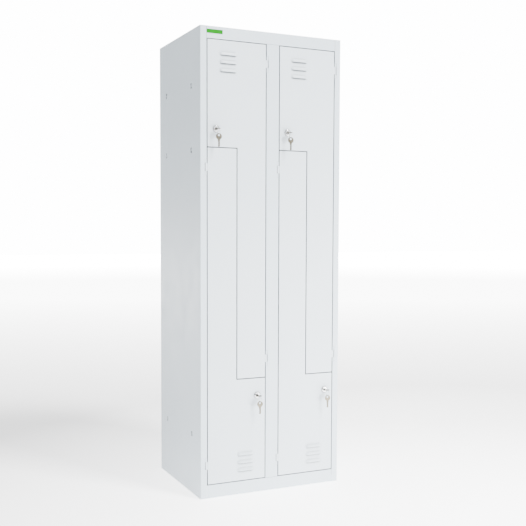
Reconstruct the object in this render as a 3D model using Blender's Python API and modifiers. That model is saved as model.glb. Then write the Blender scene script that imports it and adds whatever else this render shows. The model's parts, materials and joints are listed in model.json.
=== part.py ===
"""A steel clothes locker of two columns, each shared by two L-shaped doors that interlock in a Z.

Metres, +Z up, front towards -Y. The origin lies on the floor under the middle of the whole outline,
hanging keys included. The carcass is folded sheet; a bent partition in each column follows the Z
between the doors, and every door is a folded pan that swings on rolled hinges and carries a cam lock
with its key, a ring and a spare key.
"""

import math

import bmesh
import bpy
from mathutils import Matrix, Vector

# Whole locker
WIDTH = 0.600
DEPTH = 0.490
HEIGHT = 1.800

# Sheet metal and fits
SHEET = 0.0008
BEND = 0.0010
SEAT = 0.0003
WELD_BITE = 0.0002
OVERRUN = 0.002
MERGE = 0.00002

# Front frame
STILE_WIDTH = 0.026
POST_WIDTH = 0.054
TOP_RAIL = 0.046
KICK_HEIGHT = 0.052
KICK_FOOT = 0.016
STOP_DEPTH = 0.018
STOP_LIP = 0.010
REAR_FLANGE = 0.015

# Doors
DOOR_GAP = 0.0025
DOOR_DEPTH = 0.016
DOOR_LIP = 0.010
WIDE_PART = 0.4035
STIFFENER_CROWN = 0.022
STIFFENER_FLANGE = 0.009
STIFFENER_DEPTH = 0.012
STIFFENER_END = 0.032

# Pressed louvres
LOUVRES = 3
LOUVRE_WIDTH = 0.070
LOUVRE_HEIGHT = 0.013
LOUVRE_RISE = 0.0046
LOUVRE_ROUNDING = 0.009
LOUVRE_PITCH = 0.031
LOUVRE_SLIT = 0.0008
LOUVRE_OFFSET = 0.037
LOUVRE_TOP_MARGIN = 0.0435
LOUVRE_BOTTOM_MARGIN = 0.0395

# Hinges
HINGE_LENGTH = 0.060
HINGE_INSET = 0.044
FRAME_KNUCKLE = 0.015
HINGE_PLAY = 0.0004
PIVOT_OFFSET = 0.0055
BARREL_RADIUS = 0.0045
LEAF_SHEET = 0.0015
LEAF_LENGTH = 0.015
PIN_RADIUS = 0.00275
PIN_CHAMFER = 0.0004
NOTCH_CLEARANCE = 0.0006
ROLL_DEGREES = 270

# Z partitions and shelves
SPLIT_STOP = 0.030
SHELF_FLANGE = 0.012
SHELF_SETBACK = 0.034
HAT_DROP = 0.206
SHOE_RISE = 0.190
SLOT_WIDTH = 0.012
SLOT_HEIGHT = 0.019
SLOT_FRONT = 0.100
SLOT_REAR = 0.090
TAB_WIDTH = 0.0080
TAB_HEIGHT = 0.0060
TAB_RECESS = 0.0002

# Coat rails
RAIL_RADIUS = 0.0075
RAIL_FLANGE_RADIUS = 0.015
RAIL_FLANGE_SHEET = 0.0025
RAIL_DROP = 0.036
RAIL_DEPTH = 0.250

# Cam locks
LOCK_INSET = 0.036
LOCK_RISE = 0.069
LOCK_FLANGE_RADIUS = 0.0113
LOCK_FLANGE_HEIGHT = 0.0030
LOCK_FLANGE_CHAMFER = 0.0012
LOCK_BARREL_RADIUS = 0.009
LOCK_BARREL_LENGTH = 0.021
LOCK_NUT_RADIUS = 0.0125
LOCK_NUT_HEIGHT = 0.004
PLUG_RADIUS = 0.0062
PLUG_PROUD = 0.0002
SHANK_SIDE = 0.0066
CAM_SHEET = 0.002
CAM_WIDTH = 0.014
CAM_REACH = 0.034
CAM_SCREW_RADIUS = 0.0046
CAM_SCREW_HEIGHT = 0.0022

# Keys and rings
KEY_SHEET = 0.0018
KEY_LENGTH = 0.0510
KEY_SHANK = 0.0275
KEY_BOW_RADIUS = 0.012
KEY_NECK_WIDTH = 0.0092
KEY_BLADE_WIDTH = 0.0072
KEY_TIP = 0.0024
KEY_HOLE_RADIUS = 0.00425
KEY_EYE = 0.003
KEY_BITE = 0.0016
KEY_BITE_PITCH = 0.0036
KEY_BITE_START = 0.0042
KEY_BITES = 4
RING_RADIUS = 0.0125
RING_WIRE = 0.0008
RING_PLAY = 0.0004

# Label
LABEL_WIDTH = 0.064
LABEL_HEIGHT = 0.0145
LABEL_SHEET = 0.0008
LABEL_DROP = 0.0125
LABEL_CORNER = 0.0015

# Worked out from the sizes above
OPENING = (WIDTH - 2 * STILE_WIDTH - POST_WIDTH) / 2
OPENING_HALF = (HEIGHT - TOP_RAIL - KICK_HEIGHT) / 2
MIDDLE = KICK_HEIGHT + OPENING_HALF
HAT_LEVEL = HEIGHT - HAT_DROP
SHOE_LEVEL = KICK_HEIGHT + SHOE_RISE
DOOR_HALF = OPENING / 2 - DOOR_GAP
DOOR_TOP = OPENING_HALF - DOOR_GAP
SPLIT = OPENING_HALF - DOOR_GAP / 2 - WIDE_PART
KEY_OUT = LOCK_FLANGE_HEIGHT + PLUG_PROUD + SEAT + KEY_SHANK
EYE_OUT = KEY_OUT - KEY_EYE / 2
FRONT = (EYE_OUT + RING_RADIUS + RING_WIRE - DEPTH) / 2
REAR = FRONT + DEPTH
STOP = FRONT + STOP_DEPTH
STOP_BACK = STOP + SHEET + SEAT
BACK_FACE = REAR - SHEET - SEAT
BACK_FRONT = BACK_FACE - SHEET
FITTING_REAR = BACK_FRONT - SEAT - SHEET - BEND
WALL = WIDTH / 2 - SHEET
ROOF = HEIGHT - SHEET
WALL_TOP = ROOF - WELD_BITE - SEAT
KNUCKLE_DEPTH = FRONT + BARREL_RADIUS

# Round pieces and folds
FOLD_STEPS = 2
ROUND_STEPS = 18
PIN_STEPS = 10
ROLL_STEPS = 8
RING_STEPS = 22
WIRE_STEPS = 5
BOW_STEPS = 16
HOLE_STEPS = 12
LOUVRE_AROUND = 10
LOUVRE_ALONG = 7
CORNER_DEGREES = 40

# How drawings lie in the world: flat, upright and seen from the front, upright and seen from the right
FLAT = Matrix()
FACING_FRONT = Matrix(((1, 0, 0, 0), (0, 0, -1, 0), (0, 1, 0, 0), (0, 0, 0, 1)))
FACING_RIGHT = Matrix(((0, 0, 1, 0), (1, 0, 0, 0), (0, 1, 0, 0), (0, 0, 0, 1)))

COLUMNS = {"left": -1, "right": 1}
HANDS = {"upper": 1, "lower": -1}


def clear_scene():
    """Removes what the startup scene holds."""
    for obj in list(bpy.data.objects):
        bpy.data.objects.remove(obj, do_unlink=True)


def collection(name):
    """A collection of the scene."""
    made = bpy.data.collections.new(name)
    bpy.context.scene.collection.children.link(made)
    return made


def material(name, color, roughness, metallic):
    """A finish with one colour."""
    made = bpy.data.materials.new(name)
    made.use_nodes = True
    shader = made.node_tree.nodes["Principled BSDF"]
    shader.inputs["Base Color"].default_value = (*color, 1)
    shader.inputs["Roughness"].default_value = roughness
    shader.inputs["Metallic"].default_value = metallic
    return made


clear_scene()
PARTS = collection("z_locker")
CUTTERS = collection("cutters")
CARCASS_PAINT = material("carcass_paint", (0.70, 0.73, 0.75), 0.42, 0.0)
DOOR_PAINT = material("door_paint", (0.72, 0.74, 0.76), 0.40, 0.0)
CHROME = material("lock_chrome", (0.80, 0.80, 0.80), 0.12, 1.0)
NICKEL = material("key_nickel", (0.62, 0.60, 0.55), 0.30, 1.0)
ZINC = material("zinc_steel", (0.66, 0.67, 0.68), 0.35, 1.0)
GREEN = material("label_green", (0.10, 0.62, 0.06), 0.45, 0.0)


# Places

def depth(inside):
    """The y of a plane this far behind the front face."""
    return FRONT + inside


def column_centre(column):
    """The x of the middle of a column's opening."""
    return COLUMNS[column] * (POST_WIDTH + OPENING) / 2


def column_walls(column):
    """The x of the two wall faces that close a column, lowest first."""
    side = COLUMNS[column]
    return sorted((side * WALL, side * SHEET / 2))


def on_door(column, hand, across, up):
    """World x and z of a door point, from the middle: across to the hinge and up to the wide end."""
    turn = HANDS[hand]
    return column_centre(column) + turn * across, MIDDLE + turn * up


def door_foot():
    """The narrow end of a door, in its own up direction."""
    return DOOR_GAP / 2 - SPLIT


def door_outline(column, hand):
    """The L of a door: wide at one end, and half as wide where the other door passes it."""
    split = DOOR_GAP / 2
    corners = (
        (split, door_foot()),
        (DOOR_HALF, door_foot()),
        (DOOR_HALF, DOOR_TOP),
        (-DOOR_HALF, DOOR_TOP),
        (-DOOR_HALF, SPLIT + split),
        (split, SPLIT + split),
    )
    return [on_door(column, hand, across, up) for across, up in corners]


def hinge_spans(column, hand):
    """Low and high z of the two hinges of a door."""
    near = door_foot() + HINGE_INSET
    far = DOOR_TOP - HINGE_INSET
    spans = ((near, near + HINGE_LENGTH), (far - HINGE_LENGTH, far))
    return [sorted(on_door(column, hand, 0, up)[1] for up in span) for span in spans]


def pivot_x(column, hand):
    """The x of the axis that a door swings on."""
    return on_door(column, hand, DOOR_HALF + PIVOT_OFFSET, 0)[0]


def lock_place(column, hand):
    """The middle of a lock, on the front face."""
    across = LOCK_INSET - DOOR_HALF - DOOR_GAP / 2
    x, z = on_door(column, hand, across, SPLIT + LOCK_RISE)
    return Vector((x, FRONT, z))


# Shapes

def finish_mesh(name, bm, finish):
    """Turns a bmesh into a piece of the locker with one finish."""
    mesh = bpy.data.meshes.new(name)
    bm.to_mesh(mesh)
    bm.free()
    mesh.materials.append(finish)
    obj = bpy.data.objects.new(name, mesh)
    PARTS.objects.link(obj)
    return obj


def as_tool(obj):
    """Makes an object a helper that is not part of the locker."""
    obj.hide_render = True
    obj.display_type = "WIRE"
    for group in list(obj.users_collection):
        group.objects.unlink(obj)
    CUTTERS.objects.link(obj)
    return obj


def boolean(target, tool, operation):
    """Cuts or joins a helper, which stays live on its target."""
    as_tool(tool)
    modifier = target.modifiers.new(tool.name, "BOOLEAN")
    modifier.operation = operation
    modifier.solver = "EXACT"
    modifier.object = tool


def cut(target, *tools):
    """Takes helpers away from a piece."""
    for tool in tools:
        boolean(target, tool, "DIFFERENCE")


def fuse(target, *tools):
    """Welds helpers to a piece."""
    for tool in tools:
        boolean(target, tool, "UNION")


def smooth(obj):
    """Shades the round faces of a piece and keeps its corners sharp."""
    obj.data.shade_smooth()
    obj.data.set_sharp_from_angle(angle=math.radians(CORNER_DEGREES))
    return obj


def folded(path, inside, outside):
    """A path with each corner rounded. Left turns take the outside radius, right turns the inside one."""
    points = [Vector(path[0])]
    for before, corner, after in zip(path, path[1:], path[2:]):
        corner = Vector(corner)
        arrive = (corner - Vector(before)).normalized()
        leave = (Vector(after) - corner).normalized()
        turn = arrive.cross(leave)
        radius = outside if turn > 0 else inside
        sweep = arrive.angle_signed(leave)
        setback = radius * math.tan(abs(sweep) / 2)
        centre = corner - arrive * setback + arrive.orthogonal() * radius * math.copysign(1, turn)
        start = corner - arrive * setback - centre
        for step in range(FOLD_STEPS + 1):
            points.append(centre + Matrix.Rotation(-sweep * step / FOLD_STEPS, 2) @ start)
    points.append(Vector(path[-1]))
    return points


def drawn(path, low, high, turn):
    """The open surface that a drawn path sweeps between low and high, its normals to the right."""
    bm = bmesh.new()
    points = [bm.verts.new((*point, high)) for point in path]
    lines = [bm.edges.new(pair) for pair in zip(points, points[1:])]
    swept = bmesh.ops.extrude_edge_only(bm, edges=lines)["geom"]
    moved = [item for item in swept if isinstance(item, bmesh.types.BMVert)]
    bmesh.ops.translate(bm, vec=(0, 0, low - high), verts=moved)
    bmesh.ops.transform(bm, matrix=turn, verts=bm.verts)
    return bm


def walled(obj, thickness, offset=-1.0):
    """Gives an open surface its thickness: behind it, or on both sides with an offset of 0."""
    modifier = obj.modifiers.new("wall", "SOLIDIFY")
    modifier.thickness = thickness
    modifier.offset = offset
    modifier.use_even_offset = True
    return obj


def folded_sheet(name, path, low, high, turn, finish, offset=-1.0):
    """A folded sheet: the section of its folds, drawn out to its length, with a wall."""
    path = folded(path, BEND, BEND + SHEET)
    return walled(finish_mesh(name, drawn(path, low, high, turn), finish), SHEET, offset)


def inward(outline, distance):
    """A square-cornered outline moved in by a distance. It runs anticlockwise."""
    moved = []
    for before, corner, after in zip(outline[-1:] + outline[:-1], outline, outline[1:] + outline[:1]):
        arrive = (Vector(corner) - Vector(before)).normalized()
        leave = (Vector(after) - Vector(corner)).normalized()
        shift = Vector((-arrive.y - leave.y, arrive.x + leave.x))
        moved.append(Vector(corner) + shift * distance)
    return moved


def pan(name, outline, wall, lip, turn, place, finish):
    """A pan folded from one sheet: face, walls all round and, with a lip, their returned edges."""
    bm = bmesh.new()
    rings = [(outline, 0), (outline, -wall)]
    if lip:
        rings.append((inward(outline, lip), -wall))
    loops = [[bm.verts.new((*point, drop)) for point in ring] for ring, drop in rings]
    bm.faces.new(loops[0])
    for outer, inner in zip(loops, loops[1:]):
        for step in range(len(outline)):
            following = (step + 1) % len(outline)
            bm.faces.new((outer[following], outer[step], inner[step], inner[following]))
    bmesh.ops.transform(bm, matrix=Matrix.Translation(place) @ turn, verts=bm.verts)
    obj = finish_mesh(name, bm, finish)
    edges = obj.modifiers.new("folds", "BEVEL")
    edges.width = BEND + SHEET
    edges.segments = FOLD_STEPS
    edges.limit_method = "ANGLE"
    return walled(obj, SHEET)


def box(name, low, high, finish):
    """A box between two corners."""
    low, high = Vector(low), Vector(high)
    bm = bmesh.new()
    bmesh.ops.create_cube(bm, size=1)
    bmesh.ops.scale(bm, vec=high - low, verts=bm.verts)
    bmesh.ops.translate(bm, vec=(low + high) / 2, verts=bm.verts)
    return finish_mesh(name, bm, finish)


def cylinder(name, start, end, radius, finish, steps=ROUND_STEPS):
    """A round bar between two points."""
    start, end = Vector(start), Vector(end)
    bm = bmesh.new()
    bmesh.ops.create_cone(
        bm, cap_ends=True, segments=steps, radius1=radius, radius2=radius, depth=(end - start).length
    )
    turn = Vector((0, 0, 1)).rotation_difference(end - start).to_matrix().to_4x4()
    bmesh.ops.transform(bm, matrix=Matrix.Translation((start + end) / 2) @ turn, verts=bm.verts)
    return finish_mesh(name, bm, finish)


def turned(name, profile, turn, place, finish, steps=ROUND_STEPS):
    """A turned piece. Its profile runs down the outer side, as pairs of radius and height."""
    bm = bmesh.new()
    points = [bm.verts.new((radius, 0, height)) for radius, height in profile]
    for pair in zip(points, points[1:]):
        bm.edges.new(pair)
    obj = finish_mesh(name, bm, finish)
    screw = obj.modifiers.new("turning", "SCREW")
    screw.axis = "Z"
    screw.steps = steps
    screw.render_steps = steps
    screw.use_smooth_shade = True
    screw.use_merge_vertices = True
    screw.merge_threshold = MERGE
    obj.matrix_world = Matrix.Translation(place) @ turn
    return obj


def plate(name, outlines, thickness, turn, place, finish):
    """A flat piece cut from sheet: an outline with its holes, centred on its own plane."""
    curve = bpy.data.curves.new(name, "CURVE")
    curve.dimensions = "2D"
    curve.fill_mode = "BOTH"
    curve.extrude = thickness / 2
    for outline in outlines:
        spline = curve.splines.new("POLY")
        spline.points.add(len(outline) - 1)
        for point, (across, up) in zip(spline.points, outline):
            point.co = (across, up, 0, 1)
        spline.use_cyclic_u = True
    drawing = bpy.data.objects.new(name, curve)
    bpy.context.scene.collection.objects.link(drawing)
    graph = bpy.context.evaluated_depsgraph_get()
    mesh = bpy.data.meshes.new_from_object(drawing.evaluated_get(graph))
    bpy.data.objects.remove(drawing, do_unlink=True)
    bm = bmesh.new()
    bm.from_mesh(mesh)
    bpy.data.meshes.remove(mesh)
    bmesh.ops.remove_doubles(bm, verts=bm.verts, dist=MERGE)
    bmesh.ops.transform(bm, matrix=Matrix.Translation(place) @ turn, verts=bm.verts)
    return finish_mesh(name, bm, finish)


def arc(centre, radius, start, end, steps):
    """Points of an arc, in degrees, both ends included."""
    turns = [math.radians(start + (end - start) * step / steps) for step in range(steps + 1)]
    return [(centre[0] + radius * math.cos(t), centre[1] + radius * math.sin(t)) for t in turns]


def rounded(low, high, radius):
    """A rectangle with round corners."""
    corners = (
        (high[0] - radius, low[1] + radius, 270),
        (high[0] - radius, high[1] - radius, 0),
        (low[0] + radius, high[1] - radius, 90),
        (low[0] + radius, low[1] + radius, 180),
    )
    return [point for x, y, turn in corners for point in arc((x, y), radius, turn, turn + 90, FOLD_STEPS)]


def hang(parent, *children):
    """Hangs pieces and their helpers from an empty and leaves them where they are."""
    for child in children:
        child.parent = parent
        child.matrix_parent_inverse = Matrix.Translation(-parent.location)
        hang(parent, *[modifier.object for modifier in child.modifiers if modifier.type == "BOOLEAN"])


def pivot(name, place, parent=None):
    """An empty on the axis of a joint."""
    empty = bpy.data.objects.new(name, None)
    empty.empty_display_size = HINGE_LENGTH
    empty.location = place
    PARTS.objects.link(empty)
    if parent:
        hang(parent, empty)
    return empty


# Hinges

def rolled_leaf(name, x, towards, low, high, finish):
    """A hinge leaf whose edge is rolled round the pin. Its plate reaches towards -1 or +1 along x."""
    roll = BARREL_RADIUS - LEAF_SHEET / 2
    plane = depth(SHEET - WELD_BITE + LEAF_SHEET / 2)
    path = [(x + towards * LEAF_LENGTH, plane), (x + towards * BARREL_RADIUS, plane)]
    for step in range(ROLL_STEPS + 1):
        turn = math.radians(ROLL_DEGREES * step / ROLL_STEPS)
        path.append((x - towards * roll * math.sin(turn), KNUCKLE_DEPTH - roll * math.cos(turn)))
    return walled(finish_mesh(name, drawn(path, low, high, FLAT), finish), LEAF_SHEET, 0.0)


def frame_knuckles(target, column, hand):
    """Notches a stile for a door's hinges and welds the fixed leaves behind it."""
    x = pivot_x(column, hand)
    turn = HANDS[hand]
    near = x - turn * (OVERRUN + BARREL_RADIUS)
    far = x + turn * (BARREL_RADIUS + NOTCH_CLEARANCE)
    rear = KNUCKLE_DEPTH + BARREL_RADIUS + NOTCH_CLEARANCE
    for index, (low, high) in enumerate(hinge_spans(column, hand)):
        label = f"{hand}_{column}_{index}"
        sides = sorted((near, far))
        corners = (
            (sides[0], depth(-OVERRUN), low - NOTCH_CLEARANCE),
            (sides[1], rear, high + NOTCH_CLEARANCE),
        )
        cut(target, box(f"notch_{label}", *corners, CARCASS_PAINT))
        for end, (start, stop) in enumerate(((low, low + FRAME_KNUCKLE), (high - FRAME_KNUCKLE, high))):
            fuse(target, rolled_leaf(f"fixed_leaf_{label}_{end}", x, turn, start, stop, CARCASS_PAINT))


def hinge_pins(column, hand):
    """The pins that a door swings on."""
    for index, (low, high) in enumerate(hinge_spans(column, hand)):
        end = (high - low) / 2
        profile = (
            (0, end),
            (PIN_RADIUS - PIN_CHAMFER, end),
            (PIN_RADIUS, end - PIN_CHAMFER),
            (PIN_RADIUS, PIN_CHAMFER - end),
            (PIN_RADIUS - PIN_CHAMFER, -end),
            (0, -end),
        )
        place = (pivot_x(column, hand), KNUCKLE_DEPTH, (low + high) / 2)
        name = f"hinge_pin_{hand}_{column}_{index + 1}"
        turned(name, profile, FLAT, place, ZINC, PIN_STEPS)


# Carcass

def stop_end_cuts(target, tag, sides):
    """Takes the stop flange off both ends of a stile, where those of the rails pass it."""
    low, high = sorted(sides)
    reach = STOP_LIP + SEAT
    ends = ((-OVERRUN, KICK_HEIGHT + reach), (HEIGHT - TOP_RAIL - reach, HEIGHT))
    for index, (bottom, top) in enumerate(ends):
        corners = (
            (low, STOP - BEND - SHEET, bottom),
            (high, STOP + SHEET + OVERRUN, top),
        )
        cut(target, box(f"stop_end_{tag}_{index}", *corners, CARCASS_PAINT))


def slot_places():
    """The y of the shelf slots, front one first."""
    return depth(SLOT_FRONT), REAR - SLOT_REAR


def shelf_rows(column):
    """The levels of the shelves that hook into a column's outer wall."""
    split = SPLIT if column == "left" else -SPLIT
    return HAT_LEVEL, MIDDLE + split, SHOE_LEVEL


def side_panel(column):
    """An outer wall: rear flange, web, front stile, its return and the door stop, folded from one sheet."""
    side = COLUMNS[column]
    outer = WIDTH / 2
    stile = outer - STILE_WIDTH
    path = [
        (outer - REAR_FLANGE, REAR),
        (outer, REAR),
        (outer, FRONT),
        (stile, FRONT),
        (stile, STOP),
        (stile - STOP_LIP, STOP),
    ]
    path = [(side * x, y) for x, y in path][::-side]
    panel = folded_sheet(f"side_panel_{column}", path, 0, WALL_TOP, FLAT, CARCASS_PAINT)
    stop_end_cuts(panel, column, (side * (stile + SHEET + OVERRUN), side * (stile - STOP_LIP - OVERRUN)))
    for row, level in enumerate(shelf_rows(column)):
        for y in slot_places():
            middle = level - SHELF_FLANGE / 2
            sides = sorted((side * (WALL - OVERRUN), side * (outer + OVERRUN)))
            corners = (
                (sides[0], y - SLOT_WIDTH / 2, middle - SLOT_HEIGHT / 2),
                (sides[1], y + SLOT_WIDTH / 2, middle + SLOT_HEIGHT / 2),
            )
            cut(panel, box(f"slot_{column}_{row}", *corners, CARCASS_PAINT))
    frame_knuckles(panel, column, "lower" if column == "left" else "upper")
    return panel


def centre_post():
    """The stile between the columns: a hat section with a door stop on each side."""
    half = POST_WIDTH / 2
    path = [
        (-half - STOP_LIP, STOP),
        (-half, STOP),
        (-half, FRONT),
        (half, FRONT),
        (half, STOP),
        (half + STOP_LIP, STOP),
    ]
    low = KICK_HEIGHT + SEAT
    high = HEIGHT - TOP_RAIL - SEAT
    post = folded_sheet("centre_post", path, low, high, FLAT, CARCASS_PAINT)
    reach = half + STOP_LIP + OVERRUN
    stop_end_cuts(post, "post", (-reach, reach))
    frame_knuckles(post, "left", "upper")
    frame_knuckles(post, "right", "lower")


def stile_cuts(target, tag, low, high, rear):
    """Clears the ends of a rail from the stiles."""
    inner = WIDTH / 2 - STILE_WIDTH - SEAT
    outer = WIDTH / 2 + OVERRUN
    for name, side in COLUMNS.items():
        sides = sorted((side * inner, side * outer))
        corners = ((sides[0], FRONT - OVERRUN, low), (sides[1], rear, high))
        cut(target, box(f"{tag}_corner_{name}", *corners, CARCASS_PAINT))


def top_panel():
    """The roof, folded down into the front rail, its return and the door stop."""
    rail = HEIGHT - TOP_RAIL
    path = [(REAR, HEIGHT), (FRONT, HEIGHT), (FRONT, rail), (STOP, rail), (STOP, rail - STOP_LIP)]
    panel = folded_sheet("top_panel", path, -WIDTH / 2, WIDTH / 2, FACING_RIGHT, CARCASS_PAINT)
    stile_cuts(panel, "roof", rail - STOP_LIP - OVERRUN, ROOF - WELD_BITE, STOP_BACK)


def floor_panel():
    """The floor, folded down into the kick rail and its foot, with the door stop welded on."""
    path = [(BACK_FRONT - SEAT, KICK_HEIGHT), (FRONT, KICK_HEIGHT), (FRONT, 0), (depth(KICK_FOOT), 0)]
    reach = WALL - SEAT
    panel = folded_sheet("floor_panel", path, -reach, reach, FACING_RIGHT, CARCASS_PAINT)
    stile_cuts(panel, "floor", -OVERRUN, KICK_HEIGHT + OVERRUN, STOP_BACK)
    rail = WIDTH / 2 - STILE_WIDTH - SEAT
    low = (-rail, STOP, KICK_HEIGHT - WELD_BITE)
    high = (rail, STOP + SHEET, KICK_HEIGHT + STOP_LIP)
    fuse(panel, box("floor_stop", low, high, CARCASS_PAINT))


def back_panel():
    """The rear wall, folded forward under the roof."""
    reach = WALL - BEND
    path = [(BACK_FACE, 0), (BACK_FACE, WALL_TOP), (BACK_FACE - REAR_FLANGE, WALL_TOP)]
    folded_sheet("back_panel", path, -reach, reach, FACING_RIGHT, CARCASS_PAINT)


def centre_partition():
    """The wall between the columns, flanged against the post and the back."""
    face = -SHEET / 2
    rear = BACK_FRONT - SEAT
    front = STOP_BACK
    path = [
        (REAR_FLANGE, rear),
        (face, rear),
        (face, front),
        (POST_WIDTH / 2 + STOP_LIP, front),
    ]
    low = KICK_HEIGHT + SEAT
    high = WALL_TOP - SHEET - BEND - SEAT
    folded_sheet("centre_partition", path, low, high, FLAT, CARCASS_PAINT)


def hooks(target, column, level):
    """The tabs of a shelf that stand in the slots of the outer wall, each above a notch in the flange."""
    side = COLUMNS[column]
    sides = sorted((side * (WALL - SEAT - SHEET / 2), side * (WIDTH / 2 - TAB_RECESS)))
    middle = level - SHELF_FLANGE / 2
    for index, y in enumerate(slot_places()):
        corners = (
            (sides[0], y - TAB_WIDTH / 2, middle - TAB_HEIGHT / 2),
            (sides[1], y + TAB_WIDTH / 2, middle + TAB_HEIGHT / 2),
        )
        fuse(target, box(f"hook_{target.name}_{index}", *corners, CARCASS_PAINT))
        walls = sorted((side * (WALL - SEAT - SHEET - OVERRUN), side * WALL))
        corners = (
            (walls[0], y - SLOT_WIDTH / 2, level - SHELF_FLANGE - OVERRUN),
            (walls[1], y + SLOT_WIDTH / 2, middle - TAB_HEIGHT / 2),
        )
        cut(target, box(f"flange_notch_{target.name}_{index}", *corners, CARCASS_PAINT))


def z_partition(column):
    """The bent wall between the upper and the lower compartment of a column."""
    centre = column_centre(column)
    upper, lower = MIDDLE + SPLIT, MIDDLE - SPLIT
    low, high = column_walls(column)
    low, high = low + SEAT + SHEET / 2, high - SEAT - SHEET / 2
    path = [
        (low, upper - SHELF_FLANGE),
        (low, upper),
        (centre, upper),
        (centre, lower),
        (high, lower),
        (high, lower - SHELF_FLANGE),
    ]
    near, far = STOP_BACK, FITTING_REAR
    wall = folded_sheet(f"z_partition_{column}", path, -far, -near, FACING_FRONT, CARCASS_PAINT, 0.0)
    ends = OPENING / 2 - STOP_LIP - SEAT - OVERRUN
    for tag, level, sides in (
        ("upper", upper, (low - OVERRUN, centre - ends)),
        ("lower", lower, (centre + ends, high + OVERRUN)),
    ):
        corners = (
            (sides[0], near - OVERRUN, level - SHELF_FLANGE - OVERRUN),
            (sides[1], near + SHEET + BEND, level + SHELF_FLANGE),
        )
        cut(wall, box(f"split_end_{tag}_{column}", *corners, CARCASS_PAINT))
    hooks(wall, column, upper if column == "left" else lower)


def split_stop(column):
    """The strip in front of a Z partition that both doors of the column close on."""
    centre = column_centre(column)
    upper, lower = MIDDLE + SPLIT, MIDDLE - SPLIT
    half = SPLIT_STOP / 2
    ends = OPENING / 2 - STOP_LIP - SEAT
    left, right = centre - ends, centre + ends
    outline = [
        (left, upper - half),
        (centre - half, upper - half),
        (centre - half, lower - half),
        (right, lower - half),
        (right, lower + half),
        (centre + half, lower + half),
        (centre + half, upper + half),
        (left, upper + half),
    ]
    place = (0, STOP + SHEET / 2, 0)
    plate(f"split_stop_{column}", [outline], SHEET, FACING_FRONT, place, CARCASS_PAINT)


def shelf(name, column, level):
    """A tray shelf across a column."""
    low, high = (wall + side * SEAT for wall, side in zip(column_walls(column), (1, -1)))
    front = depth(SHELF_SETBACK)
    outline = [(low, front), (high, front), (high, FITTING_REAR), (low, FITTING_REAR)]
    tray = pan(f"{name}_{column}", outline, SHELF_FLANGE, 0, FLAT, (0, 0, level), CARCASS_PAINT)
    hooks(tray, column, level)


def coat_rail(name, low, high, level):
    """A coat rail with a fixing flange at each end."""
    half = (high - low) / 2 - SEAT
    profile = (
        (0, half),
        (RAIL_FLANGE_RADIUS, half),
        (RAIL_FLANGE_RADIUS, half - RAIL_FLANGE_SHEET),
        (RAIL_RADIUS, half - RAIL_FLANGE_SHEET),
        (RAIL_RADIUS, RAIL_FLANGE_SHEET - half),
        (RAIL_FLANGE_RADIUS, RAIL_FLANGE_SHEET - half),
        (RAIL_FLANGE_RADIUS, -half),
        (0, -half),
    )
    place = ((low + high) / 2, depth(RAIL_DEPTH), level - RAIL_DROP)
    turned(name, profile, FACING_RIGHT, place, ZINC, PIN_STEPS)


def column_fittings(column):
    """What stands inside a column."""
    z_partition(column)
    split_stop(column)
    shelf("hat_shelf", column, HAT_LEVEL)
    shelf("shoe_shelf", column, SHOE_LEVEL)
    low, high = column_walls(column)
    coat_rail(f"coat_rail_upper_{column}", low, high, HAT_LEVEL)
    split = column_centre(column) - SHEET / 2
    coat_rail(f"coat_rail_lower_{column}", low, split, MIDDLE + SPLIT)


def label():
    """The blank plate at the top left of the front."""
    low = (STILE_WIDTH - WIDTH / 2, HEIGHT - LABEL_DROP - LABEL_HEIGHT)
    high = (low[0] + LABEL_WIDTH, HEIGHT - LABEL_DROP)
    outline = rounded(low, high, LABEL_CORNER)
    place = (0, FRONT - SEAT - LABEL_SHEET / 2, 0)
    plate("label_plate", [outline], LABEL_SHEET, FACING_FRONT, place, GREEN)


# Doors

def louvre_form(name, x, z, margin, slit, finish):
    """A pressed hood: half of a long ellipsoid with rounded ends, level along its mouth."""
    bm = bmesh.new()
    turn = Matrix.Rotation(math.radians(90), 4, "Y")
    bmesh.ops.create_uvsphere(bm, u_segments=LOUVRE_AROUND, v_segments=LOUVRE_ALONG, radius=1, matrix=turn)
    straight = LOUVRE_WIDTH / 2 - LOUVRE_ROUNDING
    for vert in bm.verts:
        along, out, up = vert.co
        end = math.copysign(straight, along) + along * (LOUVRE_ROUNDING - margin)
        vert.co = (end, out * (LOUVRE_RISE - margin), up * (LOUVRE_HEIGHT - margin))
    planes = [((0, 0, -slit), (0, 0, 1))]
    if not margin:
        planes.append(((0, SHEET / 2, 0), (0, -1, 0)))
    for point, kept in planes:
        bmesh.ops.bisect_plane(
            bm,
            geom=[*bm.verts, *bm.edges, *bm.faces],
            dist=MERGE,
            plane_co=point,
            plane_no=kept,
            clear_inner=True,
        )
        bmesh.ops.holes_fill(bm, edges=[edge for edge in bm.edges if edge.is_boundary])
    bmesh.ops.recalc_face_normals(bm, faces=bm.faces)
    bmesh.ops.translate(bm, vec=(x, FRONT, z), verts=bm.verts)
    return finish_mesh(name, bm, finish)


def louvre_lines(hand):
    """The z of each louvre's mouth."""
    if hand == "upper":
        first = MIDDLE + DOOR_TOP + DOOR_GAP / 2 - LOUVRE_TOP_MARGIN - LOUVRE_HEIGHT
        return [first - LOUVRE_PITCH * index for index in range(LOUVRES)]
    first = MIDDLE - DOOR_TOP - DOOR_GAP / 2 + LOUVRE_BOTTOM_MARGIN
    return [first + LOUVRE_PITCH * index for index in range(LOUVRES)]


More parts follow.
